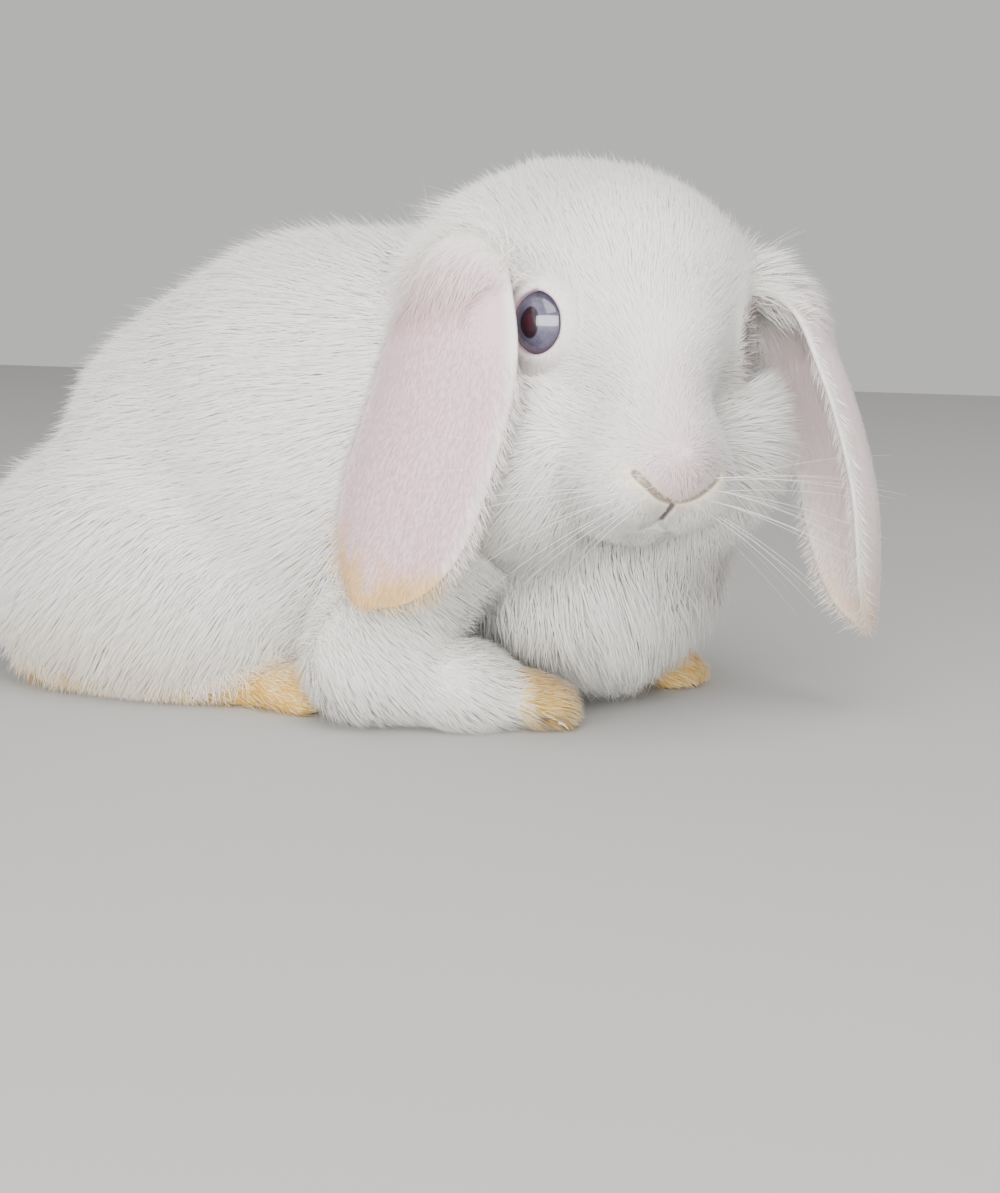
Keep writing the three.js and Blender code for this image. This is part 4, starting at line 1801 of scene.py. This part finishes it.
def build_stage():
    settings = bpy.context.scene.rabbit_stage
    corners = np.array([(-1, -1, 0.0), (1, -1, 0), (1, 1, 0), (-1, 1, 0)]) * FLOOR_HALF
    floor_mesh = mesh_from("floor", corners, np.array([[0, 1, 2, 3]]))
    floor = new_object("floor", floor_mesh)
    material, tree = new_material("pale_floor")
    finish_material(tree, {"Base Color": (*settings.floor, 1), "Roughness": 0.8})
    floor_mesh.materials.append(material)
    world = bpy.data.worlds.new("studio")
    bpy.context.scene.world = world
    world.use_nodes = True
    light = world.node_tree.nodes["Background"].inputs
    light["Color"].default_value = (*settings.surroundings, 1)
    light["Strength"].default_value = SURROUNDINGS_STRENGTH

    lamp("overhead", *OVERHEAD, settings.overhead)
    lamp("window", *WINDOW, settings.window)

    data = bpy.data.cameras.new("camera")
    data.sensor_width = SENSOR_WIDTH
    data.lens = FOCAL_PIXELS / IMAGE_HEIGHT * SENSOR_WIDTH
    camera = bpy.data.objects.new("camera", data)
    azimuth, pitch = math.radians(CAMERA_AZIMUTH), math.radians(CAMERA_PITCH)
    level = math.cos(pitch)
    forward = Vector((-math.sin(azimuth) * level, math.cos(azimuth) * level, -math.sin(pitch)))
    camera.location = Vector(CAMERA_PLACE) * MM
    camera.rotation_euler = forward.to_track_quat("-Z", "Y").to_euler()
    bpy.context.scene.collection.objects.link(camera)
    bpy.context.scene.camera = camera


# ---- Properties, operators and panel ----
def colour_property(name, description, code):
    """A colour that a user can change, with an sRGB hex value as its default."""
    return bpy.props.FloatVectorProperty(
        name=name, description=description, subtype="COLOR", default=linear(code)
    )


class RabbitSkin(bpy.types.PropertyGroup):
    pitch: bpy.props.FloatProperty(
        name="Skin pitch",
        description="Side of one face of the skin, in millimetres",
        default=1.45,
        min=0.8,
        max=3,
    )


class RabbitCoat(bpy.types.PropertyGroup):
    density: bpy.props.FloatProperty(
        name="Density", description="Share of the full number of tufts", default=1.0, min=0.05, max=1.1
    )


class RabbitClaws(bpy.types.PropertyGroup):
    length: bpy.props.FloatProperty(
        name="Length",
        description="Length of a claw from its base",
        default=0.0022,
        unit="LENGTH",
        precision=4,
    )
    radius: bpy.props.FloatProperty(
        name="Radius",
        description="Radius of a claw at its base",
        default=0.0004,
        unit="LENGTH",
        precision=5,
    )


class RabbitWhiskers(bpy.types.PropertyGroup):
    thickness: bpy.props.FloatProperty(
        name="Thickness",
        description="Radius of a whisker at its root",
        default=0.000055,
        unit="LENGTH",
        precision=6,
    )
    droop: bpy.props.FloatProperty(
        name="Droop",
        description="How far a whisker's tip hangs down",
        default=0.005,
        unit="LENGTH",
        precision=4,
    )
    points: bpy.props.IntProperty(name="Points", description="Points along a whisker", default=12, min=3)


class RabbitStage(bpy.types.PropertyGroup):
    overhead: bpy.props.FloatProperty(
        name="Overhead", description="Power of the soft lamp above", default=8.0, min=0, unit="POWER"
    )
    window: bpy.props.FloatProperty(
        name="Window",
        description="Power of the low lamp that shows in the eye",
        default=11.0,
        min=0,
        unit="POWER",
    )
    floor: colour_property("Floor", "Colour of the floor", "#B2B1AF")
    surroundings: colour_property("Surroundings", "Colour of the light all round", "#D8D7D5")


class RabbitColours(bpy.types.PropertyGroup):
    hair_tip: colour_property("Hair tip", "White of the hair tips", "#FAF8F3")
    # Painted shade at the roots of the tufts; on the skin the same grey is the darker tone of the down.
    shaded_root_and_nap_grey: colour_property("Hair root", "Greyer white near the skin", "#EFECE7")
    hair_warm: colour_property("Warm hair", "Cream of some tufts", "#F6F0E3")
    flush: colour_property("Flush", "Pink of thin skin", "#DDB9C0")
    stain: colour_property("Stain", "Yellow of stained toes and ear tips", "#E0B548")
    # The crease colour is painted shade for the nostrils, the line under the nose and the lips.
    crease: colour_property("Crease", "Dark of the nostrils and lips", "#43292E")
    iris: colour_property("Iris", "Blue-grey of the iris", "#464659")
    iris_light: colour_property("Iris light", "Paler fibres of the iris", "#5D5B71")
    iris_edge: colour_property("Iris edge", "Dark ring round the iris", "#45374A")
    pupil: colour_property("Pupil", "Edge of the pupil", "#2A1A24")
    pupil_heart: colour_property("Pupil heart", "Red glow in the pupil", "#3C1620")


def require(name):
    """Stops an operator that has not left its piece behind."""
    if name not in bpy.data.objects:
        raise RuntimeError(f"{name} was not built")


class RABBIT_OT_skin(bpy.types.Operator):
    """Build one skin over all the flesh"""

    bl_idname = "rabbit.skin"
    bl_label = "Skin"

    def execute(self, context):
        build_skin()
        require("skin")
        return {"FINISHED"}


class RABBIT_OT_eyes(bpy.types.Operator):
    """Set the eyeballs in their lids"""

    bl_idname = "rabbit.eyes"
    bl_label = "Eyes"

    def execute(self, context):
        build_eyes()
        require("eyeball_left")
        return {"FINISHED"}


class RABBIT_OT_claws(bpy.types.Operator):
    """Set the claws in the toes"""

    bl_idname = "rabbit.claws"
    bl_label = "Claws"

    def execute(self, context):
        build_claws()
        require("claws_hind_left")
        return {"FINISHED"}


class RABBIT_OT_coat(bpy.types.Operator):
    """Grow the coat over the skin"""

    bl_idname = "rabbit.coat"
    bl_label = "Coat"

    def execute(self, context):
        build_coat()
        require("coat_breast")
        return {"FINISHED"}


class RABBIT_OT_whiskers(bpy.types.Operator):
    """Grow the whiskers and brow hairs"""

    bl_idname = "rabbit.whiskers"
    bl_label = "Whiskers"

    def execute(self, context):
        build_whiskers()
        require("whiskers")
        return {"FINISHED"}


class RABBIT_OT_stage(bpy.types.Operator):
    """Set the floor, the lights and the camera"""

    bl_idname = "rabbit.stage"
    bl_label = "Stage"

    def execute(self, context):
        build_stage()
        require("camera")
        return {"FINISHED"}


class RABBIT_PT_rabbit(bpy.types.Panel):
    """Lists the pieces of the rabbit in the order in which they are built"""

    bl_idname = "RABBIT_PT_rabbit"
    bl_label = "Lop rabbit"
    bl_space_type = "VIEW_3D"
    bl_region_type = "UI"
    bl_category = "Rabbit"

    def draw(self, context):
        for operator in OPERATORS:
            self.layout.operator(operator.bl_idname)
            group = getattr(context.scene, operator.bl_idname.replace(".", "_"), None)
            for name in type(group).__annotations__ if group else ():
                self.layout.prop(group, name)
        self.layout.label(text="Colours")
        for name in RabbitColours.__annotations__:
            self.layout.prop(context.scene.rabbit_colours, name)


GROUPS = {
    "rabbit_skin": RabbitSkin,
    "rabbit_coat": RabbitCoat,
    "rabbit_claws": RabbitClaws,
    "rabbit_whiskers": RabbitWhiskers,
    "rabbit_stage": RabbitStage,
    "rabbit_colours": RabbitColours,
}
OPERATORS = (
    RABBIT_OT_skin,
    RABBIT_OT_eyes,
    RABBIT_OT_claws,
    RABBIT_OT_coat,
    RABBIT_OT_whiskers,
    RABBIT_OT_stage,
)
CLASSES = (*GROUPS.values(), *OPERATORS, RABBIT_PT_rabbit)


def register():
    for cls in CLASSES:
        bpy.utils.register_class(cls)
    for name, group in GROUPS.items():
        setattr(bpy.types.Scene, name, bpy.props.PointerProperty(type=group))


def unregister():
    for name in GROUPS:
        delattr(bpy.types.Scene, name)
    for cls in reversed(CLASSES):
        bpy.utils.unregister_class(cls)


def main():
    register()
    bpy.ops.rabbit.skin()
    bpy.ops.rabbit.eyes()
    bpy.ops.rabbit.claws()
    bpy.ops.rabbit.coat()
    bpy.ops.rabbit.whiskers()
    bpy.ops.rabbit.stage()


if __name__ == "__main__":
    main()
